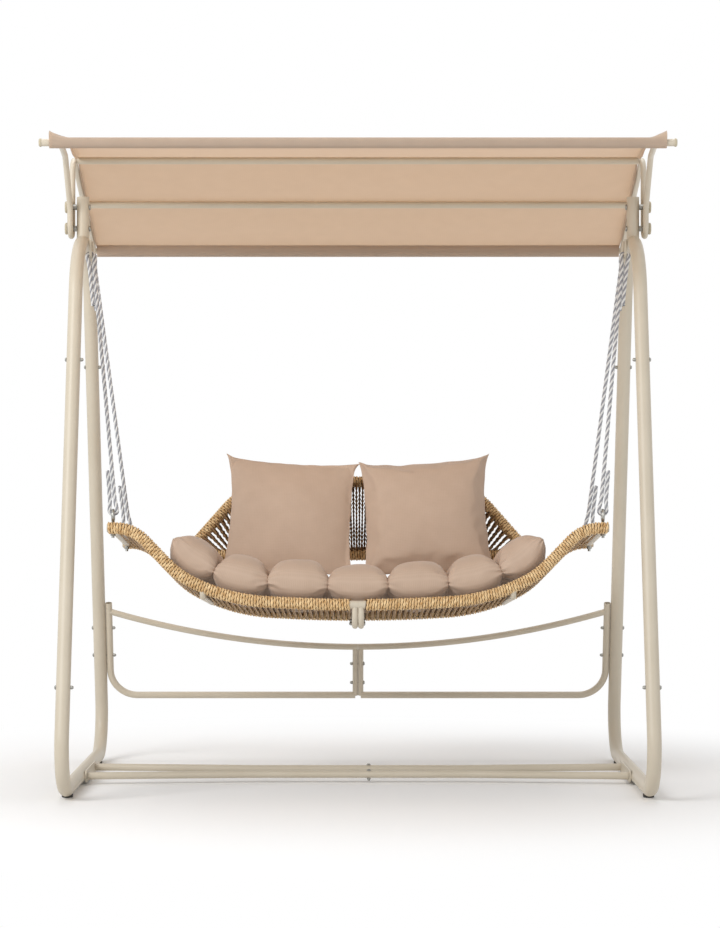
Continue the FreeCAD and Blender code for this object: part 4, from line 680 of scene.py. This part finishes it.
class SWING_OT_strands(bpy.types.Operator):
    """Strings the seat from rim to rim and the fan of the back"""

    bl_idname = "swing.strands"
    bl_label = "Strands"

    def execute(self, context):
        shade = colours().straw_painted_shade
        # Both cords are copies of the straw in painted shade: the lighter for the lower runs under the rims, the
        # darker for the upper runs under the cushion and for the back's strands.
        straw = straw_cord("shaded_straw_cord", *SHADED_STRAW, shade)
        shade_cord = straw_cord("painted_shade_straw_cord", *PAINTED_SHADE_STRAW, shade)
        cord_piece("seat_strand_cords", self.seat_runs(), STRAND_SECTION, (straw, shade_cord), "seat_strands")
        cord_piece("back_strand_cords", self.back_runs(), BACK_SECTION, (shade_cord,), "back_strands")
        return {"FINISHED"}

    def seat_runs(self):
        """Upper runs are in the darker painted-shade cord, index 1, and lower ones in the lighter painted-shade
        cord, index 0.
        """
        s = sizes()
        reach = s.half_depth - s.tube_radius - STRAND_BITE
        last = rim_length() - END_BAR_RADIUS - LAST_STRAND
        runs = []
        for n in range(int((last - FIRST_STRAND) / s.strand_pitch) + 1):
            x, z, slope = rim_at(FIRST_STRAND + n * s.strand_pitch)
            for side in (1, -1):
                across = Vector((math.cos(slope), 0, side * math.sin(slope)))
                down = Vector((side * math.sin(slope), 0, -math.cos(slope))) * UNDER_DROP
                front = Vector((side * x, -reach, z))
                rear = Vector((side * x, reach, z))
                layers = [(Vector(), 1)]
                if abs(x - MID_RIB_X) > RIB_ROOM:
                    layers.append((down, 0))
                for drop, index in layers:
                    for hand in (-1, 1):
                        offset = across * STRAND_GAP * hand
                        runs.append(straight_cord(front + drop, rear + drop, offset, hand * STRAND_LEAD, index))
        return runs

    def back_runs(self):
        """Front and rear runs take turns, half a spacing apart."""
        side_end = back_distance(BACK_RAIL)
        count = sizes().back_strands
        runs = []
        for n in range(2 * count):
            share = 1 - (n + 1.5) / (count + 1)
            top, _, towards_front = back_frame(side_end * share)
            low = back_point(STRAND_SPREAD * share, BACK_RAIL)
            run = top - low
            if run.length > BACK_SHORTEST:
                inset = run.normalized() * BACK_INSET
                off = towards_front * (BACK_OFF if n % 2 else -BACK_OFF)
                runs.append(straight_cord(low + inset + off, top - inset + off, Vector(), -BACK_LEAD, 0))
        return runs


# Ropes

ROPE_RADIUS = 0.0057
ROPE_STEP = 0.004
ROPE_STRANDS = 4
ROPE_LEAD = 0.048
YARN_SECTION = (0.0056, 0.0056, 0, 8)
YARN_OFFSET = 0.0030
HANGER = Vector((0.74695, 0, 1.495))
HANGER_BEND = 0.032
EYE_BEND = 0.016
EYE = Vector((END_BAR_X, 0.213, 0.0345))
# Half widths of a rope beside its own end, and of the loop round a bar.
BESIDE = ROPE_RADIUS + 0.0003
LOOP = 0.0103
# Knots of both loops, out from the rope's middle and up from the bar. The cut ends come first and last.
LOWER_LOOP = ((BESIDE, 0.115), (BESIDE, 0.026), (LOOP, 0.006), (LOOP, -LOOP), (-LOOP, -LOOP), (-LOOP, 0.006),
              (-BESIDE, 0.026), (-BESIDE, 0.072))
UPPER_LOOP = ((-BESIDE, -0.072), (-BESIDE, -0.026), (-LOOP, -0.006), (-LOOP, LOOP), (LOOP, LOOP), (LOOP, -0.006),
              (BESIDE, -0.026), (BESIDE, -0.150))


def rope_route(side, y_side):
    """Knots of one rope, from its lower cut end round the eye, up, round the hanger and to its upper cut end."""
    eye_z = rim_at(rim_length())[1] + EYE.z
    eye = seat_matrix() @ Vector((side * EYE.x, y_side * EYE.y, eye_z))
    axis = Vector((side * HANGER.x, 0, HANGER.z))
    aim = Vector((0, eye.y - axis.y, eye.z - axis.z)).normalized()
    high = axis + aim * HANGER_BEND
    low = eye - aim * EYE_BEND
    up = (high - low).normalized()
    out = Vector((1, 0, 0)) * side
    out = (out - up * out.dot(up)).normalized()
    return [bar + out * a + up * b for bar, loop in ((low, LOWER_LOOP), (high, UPPER_LOOP)) for a, b in loop]


def evenly(points, step):
    """Points at even spacing along a line of points, and the line's length."""
    spots = np.array([tuple(p) for p in points])
    runs = np.linalg.norm(np.diff(spots, axis=0), axis=1)
    along = np.concatenate([[0], np.cumsum(runs)])
    marks = np.linspace(0, along[-1], int(along[-1] / step) + 1)
    return [Vector([np.interp(m, along, spots[:, k]) for k in range(3)]) for m in marks], along[-1]


def laid_strands(line):
    """Helical strands about a line of points, with no twist of the line's own; their materials take turns."""
    tangents = [(b - a).normalized() for a, b in zip(line, line[1:])]
    tangents.append(tangents[-1])
    normal = tangents[0].orthogonal().normalized()
    frames = []
    for tangent in tangents:
        normal = (normal - tangent * normal.dot(tangent)).normalized()
        frames.append((normal.copy(), tangent.cross(normal)))
    step = (line[1] - line[0]).length
    runs = []
    for k in range(ROPE_STRANDS):
        points = []
        for n, (spot, (first, second)) in enumerate(zip(line, frames)):
            angle = 2 * math.pi * (k / ROPE_STRANDS + n * step / ROPE_LEAD)
            points.append(spot + first * YARN_OFFSET * math.cos(angle) + second * YARN_OFFSET * math.sin(angle))
        runs.append((points, None, k % 2))
    return runs


class SWING_OT_ropes(bpy.types.Operator):
    """Hangs the seat on four laid ropes"""

    bl_idname = "swing.ropes"
    bl_label = "Ropes"

    def execute(self, context):
        white = rope_yarn("white_rope_yarn", WHITE_YARN_SHADE, colours().rope_white)
        grey = rope_yarn("grey_rope_yarn", GREY_YARN_SHADE, colours().rope_grey)
        for edge, y_side in EDGES:
            for hand, side in HANDS:
                smooth = curve_mesh("rope_line", [(rope_route(side, y_side), None, 0)], resolution=48)
                line, length = evenly([v.co for v in smooth.vertices], ROPE_STEP)
                bpy.data.meshes.remove(smooth)
                mesh = curve_mesh(f"{edge}_rope", laid_strands(line), YARN_SECTION)
                piece = link(f"{edge}_rope_{hand}_laid", mesh, white, grey)
                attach(piece, SEAT)
                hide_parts(f"{edge}_rope_{hand}")
        return {"FINISHED"}


# Padding


def sewn_sheets(columns, rows, flat, place):
    """Two sheets joined along their edges.

    flat gives a point's place on the flat cloth in metres from its (u, v), and place its point on the
    sewn piece from that place and the sheet's side, 1 on top.
    """
    mesh = bmesh.new()
    layer = mesh.loops.layers.uv.new("UVMap")
    for side in (1, -1):
        before = set(mesh.verts)
        bmesh.ops.create_grid(mesh, x_segments=columns, y_segments=rows, size=1)
        new = [v for v in mesh.verts if v not in before]
        spots = {v: flat(v.co.x, v.co.y) for v in new}
        faces = list({f for v in new for f in v.link_faces})
        for face in faces:
            for corner in face.loops:
                corner[layer].uv = spots[corner.vert]
        for vert in new:
            vert.co = place(*spots[vert], side)
        if side < 0:
            bmesh.ops.reverse_faces(mesh, faces=faces)
    bmesh.ops.remove_doubles(mesh, verts=mesh.verts, dist=1e-5)
    return mesh


def finish_mesh(work, name):
    """A mesh from a bmesh, which is freed."""
    bmesh.ops.recalc_face_normals(work, faces=work.faces)
    mesh = bpy.data.meshes.new(name)
    work.to_mesh(mesh)
    work.free()
    return mesh


# A polyester cover: light, and stiff enough to keep its cut.
COVER = {
    "quality": 6, "mass": 0.25, "tension_stiffness": 18, "compression_stiffness": 12, "shear_stiffness": 6,
    "bending_stiffness": 0.15, "tension_damping": 8, "compression_damping": 8, "shear_damping": 8, "air_damping": 2,
}
FILLING_FRAMES = 20


def puff(piece, pinned, pressure, spare, cap):
    """Fills a closed piece: cloth under pressure, held at the pinned points, which moves cap metres at most."""
    start = np.array([v.co for v in piece.data.vertices])
    cloth = piece.modifiers.new("filling", "CLOTH")
    rules = cloth.settings
    for key, value in COVER.items():
        setattr(rules, key, value)
    rules.use_pressure = True
    rules.uniform_pressure_force = pressure
    rules.shrink_min = -spare
    rules.effector_weights.gravity = 0
    if pinned:
        piece.vertex_groups.new(name="seams").add(pinned, 1.0, "REPLACE")
        rules.vertex_group_mass = "seams"
    cloth.collision_settings.use_collision = False
    cloth.point_cache.frame_start = 1
    cloth.point_cache.frame_end = FILLING_FRAMES
    scene = bpy.context.scene
    for step in range(1, FILLING_FRAMES + 1):
        scene.frame_set(step)
    ready = piece.evaluated_get(bpy.context.evaluated_depsgraph_get())
    swollen = bpy.data.meshes.new_from_object(ready)
    moved = np.array([v.co for v in swollen.vertices]) - start
    far = np.linalg.norm(moved, axis=1)
    moved *= np.minimum(1, cap / np.maximum(far, 1e-9))[:, None]
    piece.modifiers.remove(cloth)
    piece.data.vertices.foreach_set("co", (start + moved).astype(np.float32).ravel())
    piece.data.update()
    bpy.data.meshes.remove(swollen)
    scene.frame_set(1)


def soften(piece, levels):
    """A live subdivision surface."""
    smooth = piece.modifiers.new("smooth", "SUBSURF")
    smooth.levels = levels
    smooth.render_levels = levels


def cushion_cloth():
    """The cloth of cushion and pillows, made once."""
    c = colours()
    found = bpy.data.materials.get("cushion_polyester_weave")
    # The threads are about 0.5 mm apart, and are drawn at 2.4 mm so that the weave shows.
    return found or woven_cloth("cushion_polyester_weave", c.cushion_dark, c.cushion_light, 2.4, 0.25, 0.0)


def wave_at(*spot):
    """Smooth noise at a spot."""
    return noise.noise(Vector(spot))


def ease(share):
    """A smooth step from 0 to 1."""
    share = min(max(share, 0.0), 1.0)
    return share * share * (3 - 2 * share)


# Heights of the cushion over the rims' plane: its seams are tall gathered sides, higher behind and closed at
# the cushion's ends, and each channel is filled a little differently.
SEAM_TOP = 0.074
SEAM_LOW = 0.040
SEAM_END = 0.057
SEAM_REAR_LIFT = 0.016
BASE_LIFT = 0.0035
CRESTS = (0.114, 0.120, 0.125, 0.114, 0.119, 0.121, 0.114)
CUSHION_HALF_DEPTH = 0.213
# The pillows press the channels down behind, as far out as their own outer edges.
PRESSED = 0.014
PRESSED_TO = 0.420
PRESSED_FADE = 0.050
# A seam draws the channels' ends in, to this share of the depth, and gathers their cloth.
DRAWN_IN = 0.925
GATHER = 0.015
GATHERS = 30


class SWING_OT_seat_cushion(bpy.types.Operator):
    """Sews and fills the channelled seat cushion"""

    bl_idname = "swing.seat_cushion"
    bl_label = "Seat cushion"

    def execute(self, context):
        c = context.scene.swing_cloth
        half = c.channels * c.channel_pitch / 2

        def flat(u, v):
            """Rows and columns lie close together at the seams and at the edges."""
            lobe = (u + 1) / 2 * c.channels
            whole = min(math.floor(lobe + 1e-6), c.channels - 1)
            part = (1 - math.cos(math.pi * (lobe - whole))) / 2
            return (whole + part) * c.channel_pitch - half, math.sin(v * math.pi / 2) * CUSHION_HALF_DEPTH

        def place(distance, depth, side):
            """Each channel is a plump pouch, drawn in at its seams and pressed down under the pillows."""
            x, z, slope = rim_at(abs(distance))
            lobe = (distance + half) / c.channel_pitch
            number = min(math.floor(lobe + 1e-6), c.channels - 1)
            pinch = min(abs(lobe - number - 0.5) * 2, 1)
            full = max(1 - pinch ** 2.7, 0) ** 0.5
            low = max(1 - pinch ** 2, 0) ** 0.6
            v = depth / CUSHION_HALF_DEPTH
            pressed = PRESSED * ease((v - 0.15) / 0.35) * ease((PRESSED_TO - x) / PRESSED_FADE)
            soft = 0.004 * wave_at(lobe * 2.3, v * 3.1, 8) * full
            if abs(distance) > half - c.channel_pitch / 2:
                seam_top = seam_low = SEAM_END
            else:
                seam_top = SEAM_TOP + SEAM_REAR_LIFT * ease(v / 0.4)
                seam_low = SEAM_LOW
            top = seam_top + (CRESTS[number] - seam_top - pressed) * full + soft
            base = seam_low - (seam_low - BASE_LIFT) * low
            edge = base + 0.4 * (top - base)
            sheet = top if side > 0 else base
            lift = edge + (sheet - edge) * max(1 - abs(v) ** (5 if side > 0 else 7), 0) ** 0.5
            # Gathers run from each seam over the front, where the cloth is drawn in.
            rise = (lift - base) / max(top - base, 1e-4)
            wave = math.sin(GATHERS * rise + 5 * wave_at(lobe * 1.7, v, 5))
            gather = GATHER * max(pinch - 0.4, 0) ** 1.5 * abs(v) ** 6 * (0.5 + 0.5 * wave)
            drawn = DRAWN_IN + (1 - DRAWN_IN) * full
            x -= math.sin(slope) * lift
            return Vector((
                math.copysign(x, distance),
                depth * drawn + math.copysign(gather, depth),
                z + math.cos(slope) * lift,
            ))

        mesh = finish_mesh(sewn_sheets(c.channels * 18, 68, flat, place), "seat_cushion_sewn")
        piece = link("seat_cushion_sewn", mesh, cushion_cloth())
        seams = set()
        for corner, spot in zip(mesh.loops, mesh.uv_layers.active.data):
            lobe = (spot.uv[0] + half) / c.channel_pitch
            if abs(lobe - round(lobe)) < 0.002:
                seams.add(corner.vertex_index)
        puff(piece, sorted(seams), 2.0, 0.05, 0.006)
        mesh.transform(seat_matrix())
        soften(piece, 1)
        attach(piece, SEAT)
        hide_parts("seat_cushion")
        return {"FINISHED"}


PILLOW_CROWN = 0.054
PILLOW_PLACE = Vector((0.196, 0.186, 0.283))
PILLOW_LEAN = math.radians(90 - 21)
PILLOW_ROLL = math.radians(2)
# How far the middle of each edge is drawn in between the corners, as a share of half a side.
INNER_EDGE = 0.065
OUTER_EDGE = 0.10
UPPER_EDGE = 0.08
LOWER_EDGE = 0.02
# The inner top corners hang down.
CORNER_DROOP = 0.015


class SWING_OT_pillows(bpy.types.Operator):
    """Sews and fills the two pillows and leans them on the back"""

    bl_idname = "swing.pillows"
    bl_label = "Pillows"

    def execute(self, context):
        half = context.scene.swing_cloth.pillow_half
        for hand, side in HANDS:

            def flat(u, v):
                return math.sin(u * math.pi / 2) * half, math.sin(v * math.pi / 2) * half

            def place(across, along, face):
                """Wavy edges drawn in between pointed corners, and a crown on both faces."""
                u = across / half
                v = along / half
                dome = max((1 - u * u) * (1 - v * v), 0) ** 0.62
                sway_across = 0.004 * wave_at(along * 22, side * 3, 1) * u * u * (1 - v * v)
                sway_along = 0.005 * wave_at(across * 22, side * 5, 2) * v * v * (1 - u * u)
                drawn_across = INNER_EDGE if side * u < 0 else OUTER_EDGE
                drawn_along = UPPER_EDGE if v > 0 else LOWER_EDGE
                droop = CORNER_DROOP * (1 - side * u) / 2 * (v + 1) / 2
                broad = 0.007 * wave_at(u * 1.6 + side * 7, v * 1.6, face)
                # Short creases run in from the edges, where the seam gathers the cloth.
                near = max(abs(u), abs(v)) ** 6
                crease = 0.0030 * near * wave_at(across * 34, along * 34, face + side * 4)
                return Vector((
                    across * (1 - drawn_across * (1 - abs(v) ** 2.6) * u * u) + sway_across,
                    along * (1 - drawn_along * (1 - abs(u) ** 2.6) * v * v) + sway_along - droop,
                    face * PILLOW_CROWN * dome + (broad + crease) * min(4 * dome, 1),
                ))

            mesh = finish_mesh(sewn_sheets(52, 52, flat, place), f"{hand}_pillow_sewn")
            piece = link(f"{hand}_pillow_sewn", mesh, cushion_cloth())
            puff(piece, [], 4.0, 0.03, 0.012)
            mesh.transform(Matrix.Rotation(side * PILLOW_ROLL, 4, "Z"))
            mesh.transform(Matrix.Rotation(PILLOW_LEAN, 4, "X"))
            mesh.transform(Matrix.Translation((side * PILLOW_PLACE.x, PILLOW_PLACE.y, PILLOW_PLACE.z)))
            mesh.transform(seat_matrix())
            soften(piece, 1)
            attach(piece, SEAT)
            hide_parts(f"{hand}_pillow")
        return {"FINISHED"}


# Canopy

RAILS = ["canopy_front_rail", "canopy_front_middle_rail", "canopy_rear_middle_rail", "canopy_rear_rail"]
# The cloth's middle over the rails' centre lines, and the flap that closes each sleeve.
CLOTH_OFF = 0.0105
FLAP_OFF = CLOTH_OFF - 0.002
FRONT_FLAP = 0.034
REAR_FLAP = 0.020
# Each sleeve hangs a little on its rail: (drop, half depth, half height).
FRONT_SLEEVE = (0.0007, 0.0122, 0.0134)
REAR_SLEEVE = (0.0040, 0.0118, 0.0140)
# Half of the cloth's width: at the front sleeve, behind it where the brackets pass, and at the other rails.
SLEEVE_HALF = 0.790
NARROW_HALF = 0.742
FULL_HALF = 0.793
CLOTH_THICK = 0.0012
# The notch that lets each bracket's tube into the front sleeve.
NOTCH = (0.747, 0.781)
# The front sleeve's outer ends stand up in an ear.
EAR_START = 0.955
EAR = 0.018
# The panels sag between the rails, in soft waves with small rucks at the sides.
SAG = 0.008
SOFT_WAVE = 0.0028
RUCK = 0.0030


def canopy_section():
    """The cloth's line from the front hem's seam over the rails to the rear hem's seam.

    Each station is (point, upward normal, slack, kind); slack is 0 on a rail and 1 between two.
    """
    spots = []
    for node in RAILS:
        low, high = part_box(node)
        middle = (low + high) / 2
        spots.append(Vector((0, middle.y, middle.z)))
    stations = []

    def flap(rail, along, reach, kind):
        over = Vector((0, -along.z, along.y))
        stations.append((rail + along * reach + over * FLAP_OFF, -over, 0.0, kind))

    def sleeve(rail, drop, wide, tall, degrees, kind):
        centre = rail - Vector((0, 0, drop))
        for angle in degrees:
            turn = math.radians(angle)
            out = Vector((0, math.cos(turn), math.sin(turn)))
            stations.append((centre + Vector((0, wide * out.y, tall * out.z)), out, 0.0, kind))

    flap(spots[0], (spots[1] - spots[0]).normalized(), FRONT_FLAP, "front")
    sleeve(spots[0], *FRONT_SLEEVE, range(-20, -271, -15), "front")
    for start, end in zip(spots, spots[1:]):
        run = end - start
        normal = Vector((0, -run.z, run.y)).normalized()
        count = 26 if run.length > 0.5 else 18
        for n in range(1, count):
            part = n / count
            stations.append((start + run * part + normal * CLOTH_OFF, normal, math.sin(math.pi * part), "panel"))
        if end is not spots[3]:
            stations.append((end + Vector((0, 0, CLOTH_OFF)), Vector((0, 0, 1)), 0.0, "panel"))
    sleeve(spots[3], *REAR_SLEEVE, range(75, -196, -15), "rear")
    flap(spots[3], (spots[3] - spots[2]).normalized(), -REAR_FLAP, "rear")
    return stations, spots


class SWING_OT_canopy(bpy.types.Operator):
    """Stretches one sheet of cloth over the four rails, with a sleeve round the front and rear ones"""

    bl_idname = "swing.canopy"
    bl_label = "Canopy cloth"

    def execute(self, context):
        # The threads are about 0.6 mm apart, and are drawn at 2.8 mm so that the weave shows.
        c = colours()
        cloth = woven_cloth("canopy_polyester_weave", c.canopy_dark, c.canopy_light, 2.8, 0.15, 0.42)
        hem = context.scene.swing_cloth.side_hem
        stations, spots = canopy_section()
        along = [0.0]
        for before, after in zip(stations, stations[1:]):
            along.append(along[-1] + (after[0] - before[0]).length)

        work = bmesh.new()
        layer = work.loops.layers.uv.new("UVMap")
        bmesh.ops.create_grid(work, x_segments=72, y_segments=len(stations) - 1, size=1)
        flat = {}
        cut = []
        for vert in work.verts:
            row = round((vert.co.y + 1) / 2 * (len(stations) - 1))
            spot, normal, slack, kind = stations[row]
            hand = math.copysign(1, vert.co.x)
            share = 1 - (1 - abs(vert.co.x)) ** 1.7
            half = self.half_width(spot.y, spots, kind)
            across = share * (half + hem * slack ** 0.6)
            x = hand * min(across, half)
            fall = max(across - half, 0)
            flat[vert] = (hand * across, along[row])
            flare = max((share - EAR_START) / (1 - EAR_START), 0) ** 1.5 if kind == "front" else 0
            ear = normal * EAR * flare * max(normal.z, 0) ** 2
            soft = wave_at(x * 2.1, spot.y * 7, 1) + 0.6 * wave_at(x * 5, spot.y * 15, 2)
            ruck = wave_at(x * 16 + spot.y * 11 * hand, spot.y * 9, 3) * share ** 8
            lift = slack * (SOFT_WAVE * soft + RUCK * ruck - SAG * (1 - share ** 4))
            vert.co = Vector((x, spot.y, spot.z)) + ear + normal * lift - Vector((0, 0, fall))
            if kind == "front" and NOTCH[0] < abs(x) < NOTCH[1] and normal.y > 0.3 and normal.z < 0.6:
                cut.append(vert)
        for face in work.faces:
            for corner in face.loops:
                corner[layer].uv = flat[corner.vert]
        bmesh.ops.delete(work, geom=cut, context="VERTS")
        mesh = finish_mesh(work, "canopy_sheet")
        sheet = link("canopy_sheet", mesh, cloth)
        wall = sheet.modifiers.new("thickness", "SOLIDIFY")
        wall.thickness = CLOTH_THICK
        wall.offset = 0.0
        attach(sheet, CANOPY)
        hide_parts("canopy_cloth")
        return {"FINISHED"}

    def half_width(self, y, spots, kind):
        """Half of the cloth's width at a station."""
        if kind == "front":
            return SLEEVE_HALF
        share = min(max((y - spots[0].y) / (spots[1].y - spots[0].y), 0), 1)
        return NARROW_HALF + (FULL_HALF - NARROW_HALF) * share


# Frame and stage


class SWING_OT_finishes(bpy.types.Operator):
    """Gives the metal and plastic pieces of the frame their finishes"""

    bl_idname = "swing.finishes"
    bl_label = "Metal and plastic"

    def execute(self, context):
        finishes = {
            "beige_paint": powder_coat("beige_powder_coat", colours().paint_dark, colours().paint_light),
            "zinc_steel": zinc_plate("zinc_plated_steel", *ZINC),
            "beige_plastic": moulded_plastic("beige_moulded_plastic", *BEIGE_PLASTIC),
            "dark_plastic": moulded_plastic("dark_moulded_plastic", *DARK_PLASTIC),
        }
        for entry in frame["record"]["subparts"]:
            finish = finishes.get(entry["material_slot"])
            if finish:
                node = frame["nodes"][entry["node"]]
                node.data.materials.clear()
                node.data.materials.append(finish)
        return {"FINISHED"}


# Lamps: name, place, width and power. All look at the same height over the middle of the floor.
LAMPS = (
    ("key", (-3.4, -3.8, 3.4), 2.6, 165),
    ("fill", (3.6, -3.6, 2.4), 3.0, 22),
    ("top", (0.0, 0.6, 4.6), 3.2, 82),
)
LAMP_AIM = Vector((0, 0, 0.9))
# The surroundings are white to the eye and in reflections, and light the object at half of that.
SEEN_LEVEL = 1.0
LIGHT_LEVEL = 0.50
# The floor fades to plain white between these distances from the object's middle.
FLOOR_FADE = (0.9, 1.9)
WHITE = (1, 1, 1, 1)
SENSOR_WIDTH = 36
# The lens's shift, in pixels of a picture this high.
PICTURE_HIGH = 928
SHIFT = (2, 11)


class SWING_OT_stage(bpy.types.Operator):
    """Sets the pale floor, the soft light and the camera"""

    bl_idname = "swing.stage"
    bl_label = "Stage"

    def execute(self, context):
        scene = context.scene
        scene.view_settings.view_transform = "Standard"
        self.lay_floor(scene)
        self.light_world(scene)
        for name, spot, width, power in LAMPS:
            data = bpy.data.lights.new(name, "AREA")
            data.shape = "SQUARE"
            data.size = width
            data.energy = power
            lamp = bpy.data.objects.new(name, data)
            lamp.location = spot
            lamp.rotation_euler = (LAMP_AIM - Vector(spot)).to_track_quat("-Z", "Y").to_euler()
            scene.collection.objects.link(lamp)

        view = scene.swing_stage
        data = bpy.data.cameras.new("camera")
        data.lens = view.lens
        data.sensor_width = SENSOR_WIDTH
        data.shift_x, data.shift_y = (pixels / PICTURE_HIGH for pixels in SHIFT)
        camera = bpy.data.objects.new("camera", data)
        camera.location = (0, -view.distance, view.eye)
        camera.rotation_euler = (math.pi / 2, 0, 0)
        scene.collection.objects.link(camera)
        scene.camera = camera
        return {"FINISHED"}

    def lay_floor(self, scene):
        """A wide matt floor that takes a soft shadow."""
        work = bmesh.new()
        bmesh.ops.create_grid(work, x_segments=1, y_segments=1, size=30)
        mesh = bpy.data.meshes.new("floor")
        work.to_mesh(mesh)
        work.free()
        floor = bpy.data.objects.new("floor", mesh)
        scene.collection.objects.link(floor)
        material, tree, shader = new_material("pale_matt_floor")
        place = object_place(tree)
        cloud = add_node(tree, "ShaderNodeTexNoise", inputs={"Vector": place, "Scale": 0.4})
        set_inputs(tree, shader, {
            "Base Color": two_tones(tree, cloud.outputs["Fac"], *FLOOR),
            "Roughness": 0.9,
        })
        reach = add_node(tree, "ShaderNodeVectorMath", {"operation": "LENGTH"}, {0: place})
        fade = add_node(tree, "ShaderNodeMapRange", {"interpolation_type": "SMOOTHSTEP"}, {
            "Value": reach.outputs["Value"], "From Min": FLOOR_FADE[0], "From Max": FLOOR_FADE[1]})
        white = add_node(tree, "ShaderNodeEmission", inputs={"Color": WHITE, "Strength": 1.0})
        mix_at_output(tree, fade.outputs["Result"], shader.outputs["BSDF"], white.outputs["Emission"])
        mesh.materials.append(material)

    def light_world(self, scene):
        """White surroundings."""
        world = bpy.data.worlds.new("studio")
        scene.world = world
        world.use_nodes = True
        tree = world.node_tree
        tree.nodes.clear()
        path = add_node(tree, "ShaderNodeLightPath").outputs
        seen = calculated(tree, "MAXIMUM", path["Is Camera Ray"], path["Is Glossy Ray"])
        seen = calculated(tree, "MAXIMUM", seen, path["Is Transmission Ray"])
        light = add_node(tree, "ShaderNodeBackground", inputs={
            "Color": WHITE, "Strength": ranged(tree, seen, LIGHT_LEVEL, SEEN_LEVEL)})
        add_node(tree, "ShaderNodeOutputWorld", inputs={"Surface": light.outputs["Background"]})


class SWING_PT_pieces(bpy.types.Panel):
    """Lists the pieces that dress the frame"""

    bl_idname = "SWING_PT_pieces"
    bl_label = "Canopy swing"
    bl_space_type = "VIEW_3D"
    bl_region_type = "UI"
    bl_category = "Swing"

    def draw(self, context):
        for operator in OPERATORS:
            self.layout.operator(operator.bl_idname)
        scene = context.scene
        for group in (scene.swing_seat, scene.swing_cloth, scene.swing_colours, scene.swing_stage):
            column = self.layout.column()
            for key in group.__annotations__:
                column.prop(group, key)


OPERATORS = (
    SWING_OT_stage,
    SWING_OT_ropes,
    SWING_OT_finishes,
    SWING_OT_rim_wraps,
    SWING_OT_back_wraps,
    SWING_OT_strands,
    SWING_OT_seat_cushion,
    SWING_OT_pillows,
    SWING_OT_canopy,
)
CLASSES = (SeatSizes, ClothSizes, FinishColours, StageSizes, *OPERATORS, SWING_PT_pieces)


def register():
    """Adds the classes and their settings."""
    for entry in CLASSES:
        bpy.utils.register_class(entry)
    bpy.types.Scene.swing_seat = PointerProperty(type=SeatSizes)
    bpy.types.Scene.swing_cloth = PointerProperty(type=ClothSizes)
    bpy.types.Scene.swing_colours = PointerProperty(type=FinishColours)
    bpy.types.Scene.swing_stage = PointerProperty(type=StageSizes)


def unregister():
    """Takes them away again."""
    del bpy.types.Scene.swing_stage
    del bpy.types.Scene.swing_colours
    del bpy.types.Scene.swing_cloth
    del bpy.types.Scene.swing_seat
    for entry in reversed(CLASSES):
        bpy.utils.unregister_class(entry)


def main():
    """Dresses the frame piece by piece."""
    register()
    bpy.ops.swing.stage()
    bpy.ops.swing.ropes()
    bpy.ops.swing.finishes()
    bpy.ops.swing.rim_wraps()
    bpy.ops.swing.back_wraps()
    bpy.ops.swing.strands()
    bpy.ops.swing.seat_cushion()
    bpy.ops.swing.pillows()
    bpy.ops.swing.canopy()


if __name__ == "__main__":
    main()
